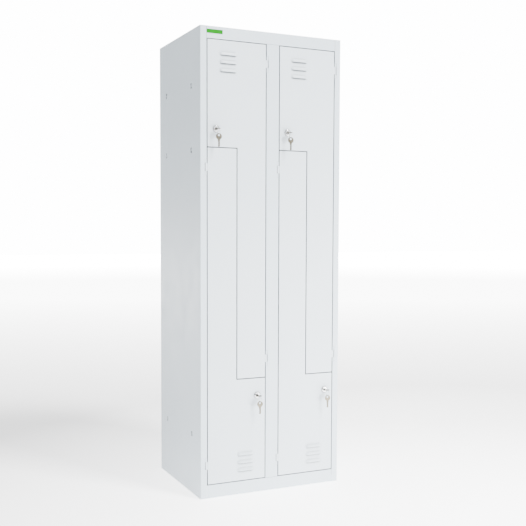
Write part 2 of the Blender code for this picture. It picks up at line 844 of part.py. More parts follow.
def door_pan(column, hand):
    """A door: folded L, pressed louvres, a hole for its lock and the moving hinge leaves."""
    tag = f"{hand}_{column}"
    outline = [Vector(point) for point in door_outline(column, hand)]
    door = pan(f"door_{tag}", outline, DOOR_DEPTH, DOOR_LIP, FACING_FRONT, (0, FRONT, 0), DOOR_PAINT)
    middle = on_door(column, hand, -LOUVRE_OFFSET, 0)[0]
    for index, line in enumerate(louvre_lines(hand)):
        fuse(door, louvre_form(f"hood_{tag}_{index}", middle, line, 0, 0, DOOR_PAINT))
        cut(door, louvre_form(f"mouth_{tag}_{index}", middle, line, SHEET, LOUVRE_SLIT, DOOR_PAINT))
    lock = lock_place(column, hand)
    start = lock - Vector((0, OVERRUN, 0))
    end = lock + Vector((0, SHEET + OVERRUN, 0))
    cut(door, cylinder(f"lock_hole_{tag}", start, end, LOCK_BARREL_RADIUS + SEAT, DOOR_PAINT))
    for index, (low, high) in enumerate(hinge_spans(column, hand)):
        inner = FRAME_KNUCKLE + HINGE_PLAY
        leaf = rolled_leaf(
            f"moving_leaf_{tag}_{index}",
            pivot_x(column, hand),
            -HANDS[hand],
            low + inner,
            high - inner,
            DOOR_PAINT,
        )
        fuse(door, leaf)
    return smooth(door)


def door_stiffener(column, hand):
    """A hat section behind the door, down its narrow part and on to its wide end."""
    middle = on_door(column, hand, (DOOR_HALF + DOOR_GAP / 2) / 2, 0)[0]
    half = STIFFENER_CROWN / 2
    near, far = depth(SHEET + SEAT), depth(STIFFENER_DEPTH)
    path = [
        (middle - half - STIFFENER_FLANGE, near),
        (middle - half, near),
        (middle - half, far),
        (middle + half, far),
        (middle + half, near),
        (middle + half + STIFFENER_FLANGE, near),
    ]
    ends = (door_foot() + STIFFENER_END, DOOR_TOP - STIFFENER_END)
    low, high = sorted(on_door(column, hand, 0, up)[1] for up in ends)
    return folded_sheet(f"door_stiffener_{hand}_{column}", path, low, high, FLAT, DOOR_PAINT)


# Locks and keys

def lock_housing(tag, place):
    """The fixed body of a cam lock with the nut that clamps it to the door."""
    profile = (
        (0, LOCK_FLANGE_HEIGHT),
        (LOCK_FLANGE_RADIUS - LOCK_FLANGE_CHAMFER, LOCK_FLANGE_HEIGHT),
        (LOCK_FLANGE_RADIUS, LOCK_FLANGE_HEIGHT - LOCK_FLANGE_CHAMFER),
        (LOCK_FLANGE_RADIUS, SEAT),
        (LOCK_BARREL_RADIUS, SEAT),
        (LOCK_BARREL_RADIUS, -LOCK_BARREL_LENGTH),
        (0, -LOCK_BARREL_LENGTH),
    )
    housing = turned(f"lock_housing_{tag}", profile, FACING_FRONT, place, CHROME)
    start = place + Vector((0, SHEET + SEAT, 0))
    end = start + Vector((0, LOCK_NUT_HEIGHT, 0))
    fuse(housing, cylinder(f"lock_nut_{tag}", start, end, LOCK_NUT_RADIUS, ZINC, 6))
    start = place - Vector((0, LOCK_FLANGE_HEIGHT + OVERRUN, 0))
    end = place + Vector((0, LOCK_BARREL_LENGTH + OVERRUN, 0))
    cut(housing, cylinder(f"lock_bore_{tag}", start, end, PLUG_RADIUS + SEAT, CHROME))
    return housing


def lock_plug(tag, place):
    """The turning core: keyway in front, square shank and cam screw behind."""
    face = LOCK_FLANGE_HEIGHT + PLUG_PROUD
    start = place - Vector((0, face, 0))
    end = place + Vector((0, LOCK_BARREL_LENGTH, 0))
    plug = cylinder(f"lock_plug_{tag}", start, end, PLUG_RADIUS, CHROME)
    half = SHANK_SIDE / 2
    shank_end = LOCK_BARREL_LENGTH + SEAT + CAM_SHEET + SEAT
    low = place + Vector((-half, LOCK_BARREL_LENGTH - OVERRUN, -half))
    high = place + Vector((half, shank_end + WELD_BITE, half))
    screw_start = place + Vector((0, shank_end, 0))
    screw_end = place + Vector((0, shank_end + CAM_SCREW_HEIGHT, 0))
    fuse(
        plug,
        box(f"lock_shank_{tag}", low, high, CHROME),
        cylinder(f"cam_screw_{tag}", screw_start, screw_end, CAM_SCREW_RADIUS, ZINC, PIN_STEPS),
    )
    across = KEY_BLADE_WIDTH / 2 + SEAT
    thick = KEY_SHEET / 2 + SEAT
    low = place + Vector((-across, -face - OVERRUN, -thick))
    high = place + Vector((across, KEY_LENGTH - KEY_OUT + SEAT + SEAT, thick))
    cut(plug, box(f"keyway_{tag}", low, high, CHROME))
    return smooth(plug)


def lock_cam(tag, place, hand):
    """The tongue that turns behind the door stop. It points along the door while that is unlocked."""
    half = CAM_WIDTH / 2
    steps = BOW_STEPS // 2
    outline = arc((0, half - CAM_REACH), half, 180, 360, steps) + arc((0, 0), half, 0, 180, steps)
    side = SHANK_SIDE / 2 + SEAT
    hole = [(-side, -side), (-side, side), (side, side), (side, -side)]
    middle = place + Vector((0, LOCK_BARREL_LENGTH + SEAT + CAM_SHEET / 2, 0))
    turn = FACING_FRONT @ Matrix.Diagonal((HANDS[hand], HANDS[hand], 1, 1))
    return plate(f"lock_cam_{tag}", [outline, hole], CAM_SHEET, turn, middle, ZINC)


def key_outlines():
    """A key as flat outlines, its eye towards +y with the far edge at 0, its blade towards -y."""
    bow = (0, -KEY_BOW_RADIUS)
    neck, blade = KEY_NECK_WIDTH / 2, KEY_BLADE_WIDTH / 2
    spread = math.degrees(math.asin(neck / KEY_BOW_RADIUS))
    outline = arc(bow, KEY_BOW_RADIUS, spread - 90, 270 - spread, BOW_STEPS)
    outline += [(-neck, -KEY_SHANK), (-blade, -KEY_SHANK)]
    for index in range(KEY_BITES):
        top = -KEY_SHANK - KEY_BITE_START - KEY_BITE_PITCH * index
        outline += [(-blade, top), (KEY_BITE - blade, top - KEY_BITE), (-blade, top - 2 * KEY_BITE)]
    outline += [(-blade, KEY_TIP - KEY_LENGTH), (KEY_TIP - blade, -KEY_LENGTH)]
    outline += [(blade - KEY_TIP, -KEY_LENGTH), (blade, KEY_TIP - KEY_LENGTH)]
    outline += [(blade, -KEY_SHANK), (neck, -KEY_SHANK)]
    hole = arc((0, -KEY_EYE - KEY_HOLE_RADIUS), KEY_HOLE_RADIUS, 90, 90 - 360, HOLE_STEPS)[:-1]
    return [outline, hole]


def key_in_lock(tag, place):
    """The key in the plug, its bow level."""
    outer = place - Vector((0, KEY_OUT, 0))
    turn = Matrix.Rotation(math.radians(180), 4, "Z")
    return plate(f"key_{tag}", key_outlines(), KEY_SHEET, turn, outer, NICKEL)


def ring_middle(place):
    """The middle of a ring that hangs in the eye of the key."""
    drop = KEY_SHEET / 2 + RING_PLAY + RING_WIRE - RING_RADIUS
    return place + Vector((0, -EYE_OUT, drop))


def key_ring(tag, place):
    """The wire ring, upright and square to the door."""
    bpy.ops.mesh.primitive_torus_add(
        major_segments=RING_STEPS,
        minor_segments=WIRE_STEPS,
        major_radius=RING_RADIUS,
        minor_radius=RING_WIRE,
        location=ring_middle(place),
        rotation=FACING_RIGHT.to_euler(),
    )
    ring = bpy.context.object
    ring.name = f"key_ring_{tag}"
    ring.data.materials.append(ZINC)
    ring.data.shade_smooth()
    for group in list(ring.users_collection):
        group.objects.unlink(ring)
    PARTS.objects.link(ring)
    return ring


def spare_key(tag, place):
    """The second key, hanging flat from the bottom of the ring."""
    wire = ring_middle(place) - Vector((0, 0, RING_RADIUS))
    top = wire + Vector((0, 0, RING_WIRE + RING_PLAY + KEY_EYE))
    return plate(f"spare_key_{tag}", key_outlines(), KEY_SHEET, FACING_FRONT, top, NICKEL)


def door_set(column, hand):
    """A door with all that it carries, each moving piece hung on the axis of its joint."""
    tag = f"{hand}_{column}"
    place = lock_place(column, hand)
    hinge_pins(column, hand)
    swing = pivot(f"door_axis_{tag}", Vector((pivot_x(column, hand), KNUCKLE_DEPTH, MIDDLE)))
    turn = pivot(f"lock_axis_{tag}", place, swing)
    draw = pivot(f"key_axis_{tag}", place, turn)
    sway = pivot(f"ring_axis_{tag}", place - Vector((0, EYE_OUT, 0)), draw)
    dangle = pivot(f"spare_axis_{tag}", ring_middle(place) - Vector((0, 0, RING_RADIUS)), sway)
    hang(swing, door_pan(column, hand), door_stiffener(column, hand), lock_housing(tag, place))
    hang(turn, lock_plug(tag, place), lock_cam(tag, place, hand))
    hang(draw, key_in_lock(tag, place))
    hang(sway, key_ring(tag, place))
    hang(dangle, spare_key(tag, place))


def main():
    for column in COLUMNS:
        side_panel(column)
    top_panel()
    floor_panel()
    back_panel()
    centre_partition()
    centre_post()
    label()
    for column in COLUMNS:
        column_fittings(column)
        for hand in HANDS:
            door_set(column, hand)


main()
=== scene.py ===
"""Dresses the two-column Z locker: fine pressed doors, locks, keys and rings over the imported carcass,
with powder coat, chrome, nickel and zinc finishes, on a pale studio floor.

Metres, +Z up, doors towards -Y. Every new piece is a surface worked out on a grid of two parameters.
"""

import json
import math

import bpy
import numpy as np
from mathutils import Matrix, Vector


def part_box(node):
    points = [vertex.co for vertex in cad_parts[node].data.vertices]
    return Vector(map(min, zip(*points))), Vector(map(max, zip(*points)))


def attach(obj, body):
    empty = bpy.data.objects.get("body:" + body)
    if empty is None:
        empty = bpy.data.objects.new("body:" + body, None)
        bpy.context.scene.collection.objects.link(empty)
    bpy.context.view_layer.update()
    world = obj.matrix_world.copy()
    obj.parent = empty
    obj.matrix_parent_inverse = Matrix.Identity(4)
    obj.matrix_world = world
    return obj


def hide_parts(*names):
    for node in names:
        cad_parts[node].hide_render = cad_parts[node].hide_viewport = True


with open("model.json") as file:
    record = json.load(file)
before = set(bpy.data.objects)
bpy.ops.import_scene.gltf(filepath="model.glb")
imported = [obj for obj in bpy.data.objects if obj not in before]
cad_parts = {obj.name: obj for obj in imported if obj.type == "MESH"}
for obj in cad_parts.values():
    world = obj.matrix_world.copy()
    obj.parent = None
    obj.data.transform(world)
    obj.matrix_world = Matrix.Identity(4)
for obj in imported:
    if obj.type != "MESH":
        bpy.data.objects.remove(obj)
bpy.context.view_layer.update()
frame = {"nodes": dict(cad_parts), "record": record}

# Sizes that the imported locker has, in metres
SHEET = 0.0008
SEAT = 0.0003
FOLD = 0.0018
OVERRUN = 0.002
WELD_BITE = 0.0002
STILE_WIDTH = 0.026
POST_WIDTH = 0.054
TOP_RAIL = 0.046
KICK = 0.052
KICK_FOOT = 0.016
STOP_DEPTH = 0.018
STOP_LIP = 0.010
REAR_FLANGE = 0.015
HAT_DROP = 0.206
SHOE_RISE = 0.190
SHELF_FLANGE = 0.012
SLOT_WIDTH = 0.012
SLOT_HEIGHT = 0.019
SLOT_FRONT = 0.100
SLOT_REAR = 0.090
DOOR_HALF = 0.121
DOOR_GAP = 0.0025
DOOR_DEPTH = 0.016
DOOR_LIP = 0.010
LOUVRE_WIDTH = 0.070
LOUVRE_HEIGHT = 0.013
LOUVRE_RISE = 0.0046
LOUVRE_PITCH = 0.031
LOUVRE_OFFSET = 0.037
LOUVRE_TOP_MARGIN = 0.0435
LOUVRE_BOTTOM_MARGIN = 0.0395
HINGE_LENGTH = 0.060
HINGE_INSET = 0.044
FRAME_KNUCKLE = 0.015
HINGE_PLAY = 0.0004
PIVOT_OFFSET = 0.0055
BARREL_RADIUS = 0.0045
LEAF_SHEET = 0.0015
LEAF_LENGTH = 0.015
PIN_RADIUS = 0.00275
NOTCH_CLEARANCE = 0.0006
RAIL_RADIUS = 0.0075
RAIL_FLANGE_SHEET = 0.0025
LABEL_CORNER = 0.0015
LOCK_INSET = 0.036
LOCK_RISE = 0.069
FLANGE_RADIUS = 0.0113
FLANGE_HEIGHT = 0.0030
BARREL_OUTER = 0.009
BARREL_LENGTH = 0.021
NUT_RADIUS = 0.0125
NUT_HEIGHT = 0.004
PLUG_RADIUS = 0.0062
PLUG_PROUD = 0.0002
SHANK_SIDE = 0.0066
SCREW_RADIUS = 0.0046
SCREW_HEIGHT = 0.0022
CAM_SHEET = 0.002
CAM_WIDTH = 0.014
CAM_REACH = 0.034
KEY_SHEET = 0.0018
KEY_LENGTH = 0.0510
KEY_SHANK = 0.0275
KEY_BOW_RADIUS = 0.012
KEY_NECK_WIDTH = 0.0092
KEY_BLADE_WIDTH = 0.0072
KEY_TIP = 0.0024
KEY_HOLE_RADIUS = 0.00425
KEY_EYE = 0.003
BITES = 4
BITE = 0.0016
BITE_PITCH = 0.0036
BITE_START = 0.0042
RING_RADIUS = 0.0125
RING_WIRE = 0.0008
RING_PLAY = 0.0004

# Sizes and shares of the rounded edges, threads, grooves and other fine forms added here
LOUVRE_END = 0.011
LOUVRE_RUN_OUT = 1.4
LOUVRE_CROWN = 0.85
LOUVRE_SPREAD = 1.3
PIN_ROUND = 0.0008
RAIL_ROUNDS = [0.0004, 0.0010, 0.0012]
LOCK_BLOCK = 0.012
FLANGE_ROUND = 0.0014
FINE_EDGE = 0.0003
CRISP_EDGE = 0.0002
THREAD_START = 0.0056
THREAD_PITCH = 0.001
THREAD_DEPTH = 0.0005
NUT_CHAMFER = 0.001
NUT_SLOPE = 1.7
NUT_PLAY = 0.0001
SCREW_ROUND = 0.0012
CROSS_REACH = 0.0024
CROSS_ROOT = 0.0009
CROSS_HALF = 0.26
CROSS_TAPER = 0.8
CROSS_DEPTH = 0.0012
CROSS_TIP = 0.0014
CAM_EDGE = 0.0004
KEY_EDGE = 0.00025
KEY_SHOULDER = 0.0006
KEY_ROUND = 0.00035
GROOVE_HALF = 0.0011
GROOVE_DEPTH = 0.0004
GROOVE_SLOPE = 0.0004
GROOVE_START = 0.001
RING_SLIT = 0.00002
RING_START = 35.0
RING_CROSSING = 0.2

# How finely the surfaces are laid
ROUND_POINTS = 96
BLOCK_POINTS = 9
LOUVRE_COLUMNS = 71
LOUVRE_ROWS = 15
BOW_POINTS = 37
NECK_POINTS = 6
RING_POINTS = 289
WIRE_POINTS = 16
DIGITS = 7
TOUCH = 1e-5


def reach_of(node, corner, axis):
    """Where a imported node's box ends along an axis: its low side for corner 0, its high side for 1."""
    return float(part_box(node)[corner][axis])


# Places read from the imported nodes
WIDTH = round(2 * reach_of("side_panel_right", 1, 0), DIGITS)
FRONT = reach_of("side_panel_left", 0, 1)
REAR = reach_of("side_panel_left", 1, 1)
HEIGHT = reach_of("top_panel", 1, 2)
MIDDLE = (reach_of("door_upper_left", 1, 2) + reach_of("door_lower_left", 0, 2)) / 2
DOOR_TOP = reach_of("door_upper_left", 1, 2) - MIDDLE
NARROW_END = reach_of("door_upper_left", 0, 2)
SPLIT = MIDDLE - NARROW_END + DOOR_GAP / 2
RAIL = HEIGHT - TOP_RAIL
WALL_TOP = HEIGHT - SHEET - WELD_BITE - SEAT
STOP = FRONT + STOP_DEPTH
STOP_BACK = STOP + SHEET + SEAT
BACK_FRONT = REAR - 2 * SHEET - SEAT
HAT_LEVEL = HEIGHT - HAT_DROP
SHOE_LEVEL = KICK + SHOE_RISE
KNUCKLE_DEPTH = FRONT + BARREL_RADIUS
SHANK_END = BARREL_LENGTH + 2 * SEAT + CAM_SHEET
FACE_OUT = FLANGE_HEIGHT + PLUG_PROUD
KEY_OUT = FACE_OUT + SEAT + KEY_SHANK
EYE_OUT = KEY_OUT - KEY_EYE / 2

COLUMN = (WIDTH / 2 - STILE_WIDTH + POST_WIDTH / 2) / 2
COLUMNS = {"left": -COLUMN, "right": COLUMN}
HANDS = {"upper": 1, "lower": -1}


# Finishes

NOISE_LOW, NOISE_HIGH = 0.3, 0.7
GAP_REACH = 0.012
GAP_SHADE = 0.02
FOOT_LOW, FOOT_HIGH = 0.025, 0.040


def finish(name, metallic, roughness):
    """A material, its node tree, its shader and the object coordinates that its patterns read."""
    made = bpy.data.materials.new(name)
    made.use_nodes = True
    tree = made.node_tree
    shader = tree.nodes["Principled BSDF"]
    shader.inputs["Metallic"].default_value = metallic
    shader.inputs["Roughness"].default_value = roughness
    where = tree.nodes.new("ShaderNodeTexCoord")
    return made, tree, shader, where.outputs["Object"]


def stretched(tree, where, scale):
    """The object coordinates multiplied along each axis, for grain that runs one way."""
    mapping = tree.nodes.new("ShaderNodeMapping")
    mapping.inputs["Scale"].default_value = scale
    tree.links.new(where, mapping.inputs["Vector"])
    return mapping.outputs["Vector"]


def noise(tree, where, scale, detail=2.0, rough=0.5):
    """A fractal noise of this many features per metre."""
    node = tree.nodes.new("ShaderNodeTexNoise")
    node.inputs["Scale"].default_value = scale
    node.inputs["Detail"].default_value = detail
    node.inputs["Roughness"].default_value = rough
    tree.links.new(where, node.inputs["Vector"])
    return node.outputs["Fac"]


def between(tree, value, low, high, start=NOISE_LOW, stop=NOISE_HIGH):
    """A level that runs from low to high as a value goes from start to stop."""
    node = tree.nodes.new("ShaderNodeMapRange")
    node.inputs["From Min"].default_value = start
    node.inputs["From Max"].default_value = stop
    node.inputs["To Min"].default_value = low
    node.inputs["To Max"].default_value = high
    tree.links.new(value, node.inputs["Value"])
    return node.outputs["Result"]


def blended(tree, value, first, second):
    """A colour that runs from the first to the second over the span where most of a noise lies."""
    ramp = tree.nodes.new("ShaderNodeValToRGB")
    low, high = ramp.color_ramp.elements
    low.position, low.color = NOISE_LOW, (*first, 1)
    high.position, high.color = NOISE_HIGH, (*second, 1)
    tree.links.new(value, ramp.inputs["Fac"])
    return ramp.outputs["Color"]


def bumped(tree, height, depth, strength, under=None):
    """A bump of this depth in metres, laid over another one."""
    node = tree.nodes.new("ShaderNodeBump")
    node.inputs["Strength"].default_value = strength
    node.inputs["Distance"].default_value = depth
    tree.links.new(height, node.inputs["Height"])
    if under is not None:
        tree.links.new(under, node.inputs["Normal"])
    return node.outputs["Normal"]


def toward(tree, where, direction, low, high, start, stop):
    """A level that runs from low to high as places or directions lie further along a direction."""
    along = tree.nodes.new("ShaderNodeVectorMath")
    along.operation = "DOT_PRODUCT"
    along.inputs[1].default_value = direction
    tree.links.new(where, along.inputs[0])
    return between(tree, along.outputs["Value"], low, high, start, stop)


def joined(tree, first, second, operation="ADD"):
    """Two levels added up, or joined by another operation."""
    node = tree.nodes.new("ShaderNodeMath")
    node.operation = operation
    tree.links.new(first, node.inputs[0])
    tree.links.new(second, node.inputs[1])
    return node.outputs["Value"]


def shaded_gaps(tree, where, colour, shut, free):
    """Painted shade: the colour darkened where the surface lies in a gap or a fold, from full where it is
    this free of others down to almost black where it is this shut in, but not where it stands on the floor."""
    openness = tree.nodes.new("ShaderNodeAmbientOcclusion")
    openness.samples = 8
    openness.inputs["Distance"].default_value = GAP_REACH
    shade = tree.nodes.new("ShaderNodeVectorMath")
    shade.operation = "SCALE"
    tree.links.new(colour, shade.inputs[0])
    level = between(tree, openness.outputs["AO"], GAP_SHADE, 1.0, shut, free)
    foot = toward(tree, where, (0.0, 0.0, 1.0), 1.0, 0.0, FOOT_LOW, FOOT_HIGH)
    tree.links.new(joined(tree, level, foot, "MAXIMUM"), shade.inputs["Scale"])
    return shade.outputs["Vector"]


def powder_coat(name, first, second, shut, free):
    """Satin powder coat: orange peel one or two millimetres wide over slow waves of the sheet, with shade
    painted into gaps and folds."""
    made, tree, shader, where = finish(name, 0.0, 0.4)
    paint = blended(tree, noise(tree, where, scale=2.3, detail=3.0), first, second)
    # painted shade: the paint darkened in gaps and folds
    tree.links.new(shaded_gaps(tree, where, paint, shut, free), shader.inputs["Base Color"])
    satin = between(tree, noise(tree, where, scale=14.0, detail=4.0), 0.36, 0.47)
    tree.links.new(satin, shader.inputs["Roughness"])
    waves = noise(tree, where, scale=5.0, detail=1.0)
    waves = bumped(tree, waves, depth=0.0012, strength=0.10)
    peel = noise(tree, where, scale=620.0, detail=2.0, rough=0.6)
    peel = bumped(tree, peel, depth=0.00012, strength=0.35, under=waves)
    tree.links.new(peel, shader.inputs["Normal"])
    return made


def plated(name, first, second, smooth, dull, grain, depth):
    """A plated metal: its colour and gloss wander, fine marks run with the grain, and shade is painted
    where it is shut in."""
    made, tree, shader, where = finish(name, 1.0, smooth)
    metal = blended(tree, noise(tree, where, scale=90.0, detail=3.0), first, second)
    # painted shade: the metal's colour darkened where it is shut in
    painted_shade = shaded_gaps(tree, where, metal, shut=0.62, free=0.98)
    tree.links.new(painted_shade, shader.inputs["Base Color"])
    lines = noise(tree, stretched(tree, where, grain), scale=60.0, detail=4.0, rough=0.65)
    tree.links.new(between(tree, lines, smooth, dull), shader.inputs["Roughness"])
    tree.links.new(bumped(tree, lines, depth, strength=0.3), shader.inputs["Normal"])
    return made


def label_film():
    """Plain green film with a faint grain and a slight sheen."""
    made, tree, shader, where = finish("label_green", 0.0, 0.38)
    shader.inputs["Specular IOR Level"].default_value = 0.15
    green = noise(tree, where, scale=45.0, detail=3.0)
    green = blended(tree, green, (0.0, 0.145, 0.0), (0.0, 0.170, 0.0))
    tree.links.new(green, shader.inputs["Base Color"])
    sheen = between(tree, noise(tree, where, scale=160.0), 0.32, 0.42)
    tree.links.new(sheen, shader.inputs["Roughness"])
    grain = bumped(tree, noise(tree, where, scale=1400.0), depth=0.00004, strength=0.4)
    tree.links.new(grain, shader.inputs["Normal"])
    return made


# The carcass paint is a darker copy of the door paint: painted shade for the side panels turned away from
# the light.
CARCASS = powder_coat(
    "carcass_paint", (0.548, 0.624, 0.681), (0.573, 0.647, 0.703), shut=0.36, free=0.95
)
DOOR = powder_coat(
    "door_paint", (0.590, 0.654, 0.703), (0.615, 0.677, 0.725), shut=0.64, free=0.97
)
CHROME = plated(
    "lock_chrome", (0.78, 0.79, 0.80), (0.86, 0.86, 0.87),
    smooth=0.07, dull=0.18, grain=(1, 1, 8), depth=0.00002,
)
NICKEL = plated(
    "key_nickel", (0.105, 0.093, 0.070), (0.175, 0.157, 0.124),
    smooth=0.32, dull=0.50, grain=(6, 1, 1), depth=0.00004,
)
ZINC = plated(
    "zinc_steel", (0.60, 0.61, 0.63), (0.70, 0.70, 0.69),
    smooth=0.26, dull=0.44, grain=(4, 4, 1), depth=0.00004,
)
GREEN = label_film()

FINISHES = {
    "carcass_paint": CARCASS,
    "door_paint": DOOR,
    "lock_chrome": CHROME,
    "key_nickel": NICKEL,
    "zinc_steel": ZINC,
    "label_green": GREEN,
}
for part in frame["record"]["subparts"]:
    node = frame["nodes"][part["node"]]
    node.data.materials.clear()
    node.data.materials.append(FINISHES[part["material_slot"]])


# Surfaces

FLAT = np.array([[1, 0, 0], [0, 1, 0], [0, 0, 1]])
FACING_FRONT = np.array([[1, 0, 0], [0, 0, 1], [0, -1, 0]])
FACING_RIGHT = np.array([[0, 1, 0], [0, 0, 1], [1, 0, 0]])
POINTING_IN = np.array([[-1, 0, 0], [0, -1, 0], [0, 0, 1]])


def tiles(rows, columns, kept=None, round_rows=False, round_columns=False):
    """Corner numbers of the quads of a grid. They face the row direction crossed with the column's."""
    row = np.arange(rows if round_rows else rows - 1)[:, None]
    column = np.arange(columns if round_columns else columns - 1)[None, :]
    down, across = (row + 1) % rows, (column + 1) % columns
    corners = ((row, column), (down, column), (down, across), (row, across))
    quads = np.stack([np.broadcast_arrays(r * columns + c)[0] for r, c in corners], axis=-1)
    return quads.reshape(-1, 4) if kept is None else quads[kept]


def laid(name, points, quads, material, wall=0.0, offset=-1.0, corner=40.0):
    """A piece from points and quads: equal points become one, a sheet gets its wall, and edges that turn
    by more than the corner angle stay sharp."""
    points = np.asarray(points, dtype=np.float64).reshape(-1, 3)
    near = np.round(points, DIGITS)
    _, first, same = np.unique(near, axis=0, return_index=True, return_inverse=True)
    points = points[first]
    quads = same.reshape(-1)[np.asarray(quads).reshape(-1, 4)]
    apart = quads != np.roll(quads, -1, axis=1)
    solid = (apart.sum(axis=1) > 2) & (quads[:, 0] != quads[:, 2]) & (quads[:, 1] != quads[:, 3])
    quads, apart = quads[solid], apart[solid]
    sizes = apart.sum(axis=1)
    mesh = bpy.data.meshes.new(name)
    mesh.vertices.add(len(points))
    mesh.vertices.foreach_set("co", points.astype(np.float32).ravel())
    mesh.loops.add(int(sizes.sum()))
    mesh.loops.foreach_set("vertex_index", quads[apart].astype(np.int32))
    mesh.polygons.add(len(sizes))
    mesh.polygons.foreach_set("loop_start", (np.cumsum(sizes) - sizes).astype(np.int32))
    mesh.update(calc_edges=True)
    mesh.materials.append(material)
    piece = bpy.data.objects.new(name, mesh)
    bpy.context.scene.collection.objects.link(piece)
    if wall:
        modifier = piece.modifiers.new("wall", "SOLIDIFY")
        modifier.thickness = wall
        modifier.offset = offset
        modifier.use_even_offset = True
        graph = bpy.context.evaluated_depsgraph_get()
        piece.data = bpy.data.meshes.new_from_object(piece.evaluated_get(graph))
        piece.modifiers.clear()
        bpy.data.meshes.remove(mesh)
    piece.data.name = name
    piece.data.shade_smooth()
    piece.data.set_sharp_from_angle(angle=math.radians(corner))
    flatness = piece.modifiers.new("flat faces stay flat", "WEIGHTED_NORMAL")
    flatness.keep_sharp = True
    return piece


def settle(piece, body, slot, *nodes):
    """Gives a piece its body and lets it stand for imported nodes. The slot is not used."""
    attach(piece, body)
    if nodes:
        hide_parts(*nodes)


def rounded_line(points, radii, steps=6):
    """A line whose corners become arcs of these radii, each turned from its first leg to its second."""
    points = np.asarray(points, dtype=float)
    legs = np.diff(points, axis=0)
    legs /= np.linalg.norm(legs, axis=1)[:, None]
    arrive, leave = legs[:-1], legs[1:]
    sweep = np.arctan2(
        arrive[:, 0] * leave[:, 1] - arrive[:, 1] * leave[:, 0],
        (arrive * leave).sum(axis=1),
    )
    radii = radii(sweep) if callable(radii) else np.broadcast_to(radii, sweep.shape)
    inside = np.stack([-arrive[:, 1], arrive[:, 0]], axis=1) * (np.sign(sweep) * radii)[:, None]
    centre = points[1:-1] - arrive * (radii * np.tan(np.abs(sweep) / 2))[:, None] + inside
    turn = sweep[:, None] * np.linspace(0, 1, steps + 1)
    cos, sin = np.cos(turn), np.sin(turn)
    x = centre[:, :1] - inside[:, :1] * cos + inside[:, 1:] * sin
    y = centre[:, 1:] - inside[:, :1] * sin - inside[:, 1:] * cos
    arcs = np.stack([x, y], axis=-1).reshape(-1, 2)
    return np.concatenate([points[:1], arcs, points[-1:]])


def crossed(line, axis, value):
    """The line with a point added wherever it passes a value of one coordinate."""
    before, after = line[:-1, axis] - value, line[1:, axis] - value
    spots = np.flatnonzero(before * after < -1e-14)
    share = (before[spots] / (before - after)[spots])[:, None]
    return np.insert(line, spots + 1, line[spots] * (1 - share) + line[spots + 1] * share, axis=0)


def folded_sheet(name, path, low, high, axes, material, windows=(), offset=-1.0):
    """A folded sheet: the section of its folds carried along its length, less the cells in its windows.
    A window is a box between two corners in the drawing's own across, up and along."""
    line = rounded_line(path, lambda sweep: np.where(sweep > 0, FOLD, FOLD - SHEET))
    along = [low, high]
    for corners in windows:
        corners = np.asarray(corners)
        along += [value for value in corners[:, 2] if low < value < high]
        for axis in (0, 1):
            for value in corners[:, axis]:
                line = crossed(line, axis, value)
    along = np.unique(np.round(along, DIGITS))
    centre = (line[1:] + line[:-1]) / 2
    middle = (along[1:] + along[:-1]) / 2
    kept = np.ones((len(centre), len(middle)), dtype=bool)
    for start, stop in windows:
        hit = (centre > start[:2]).all(axis=1) & (centre < stop[:2]).all(axis=1)
        kept &= ~(hit[:, None] & ((middle > start[2]) & (middle < stop[2]))[None, :])
    local = np.empty((len(line), len(along), 3))
    local[..., :2] = line[:, None, :]
    local[..., 2] = along[None, :]
    return laid(name, local @ axes, tiles(len(line), len(along), kept), material, SHEET, offset)


def circle(radius, steps=ROUND_POINTS):
    """Points of a circle, anticlockwise from +x."""
    turn = np.arange(steps) * 2 * np.pi / steps
    return radius * np.stack([np.cos(turn), np.sin(turn)], axis=-1)


def lofted(name, rings, place, axes, material, corner=40.0):
    """A closed surface through rings, pairs of an outline and a height, that run down its outer side."""
    local = np.stack([np.column_stack([line, np.full(len(line), height)]) for line, height in rings])
    quads = tiles(*local.shape[:2], round_columns=True)
    return laid(name, np.asarray(place) + local @ axes, quads, material, corner=corner)


def turned(name, profile, place, axes, material, steps=ROUND_POINTS):
    """A turned piece: pairs of radius and height, down its outer side."""
    rings = [(circle(radius, steps), height) for radius, height in profile]
    return lofted(name, rings, place, axes, material)


# Places

def on_door(column, hand, across, up):
    """World x and z of a door point, from the middle: across to the hinge and up to the wide end."""
    turn = HANDS[hand]
    return COLUMNS[column] + turn * across, MIDDLE + turn * up


def hinge_spans(hand):
    """Low and high z of the two hinges of a door."""
    near = NARROW_END - MIDDLE + HINGE_INSET
    far = DOOR_TOP - HINGE_INSET
    spans = ((near, near + HINGE_LENGTH), (far - HINGE_LENGTH, far))
    return [sorted(MIDDLE + HANDS[hand] * up for up in span) for span in spans]


def lock_place(column, hand):
    """The middle of a lock, on the front face."""
    x, z = on_door(column, hand, LOCK_INSET - DOOR_HALF - DOOR_GAP / 2, SPLIT + LOCK_RISE)
    return np.array([x, FRONT, z])


def louvre_lines(hand):
    """The z of the mouths of a door's louvres."""
    if hand == "upper":
        first = MIDDLE + DOOR_TOP + DOOR_GAP / 2 - LOUVRE_TOP_MARGIN - LOUVRE_HEIGHT
        return first - LOUVRE_PITCH * np.arange(3)
    return MIDDLE - DOOR_TOP - DOOR_GAP / 2 + LOUVRE_BOTTOM_MARGIN + LOUVRE_PITCH * np.arange(3)


# Doors

def hood_rise(across, up):
    """How far a louvre stands out. What is left of 1 after the square of the height, to a power just under
    1, times what is left after the square of the way past its straight part, to a power above 1, so that
    it rounds over and its ends run out softly."""
    past = np.maximum(np.abs(across) - LOUVRE_WIDTH / 2 + LOUVRE_END, 0) / LOUVRE_END
    ends = np.clip(1 - past**2, 0, 1) ** LOUVRE_RUN_OUT
    crown = np.clip(1 - (up / LOUVRE_HEIGHT) ** 2, 0, 1) ** LOUVRE_CROWN
    return LOUVRE_RISE * np.where(up < 0, 0, crown * ends)


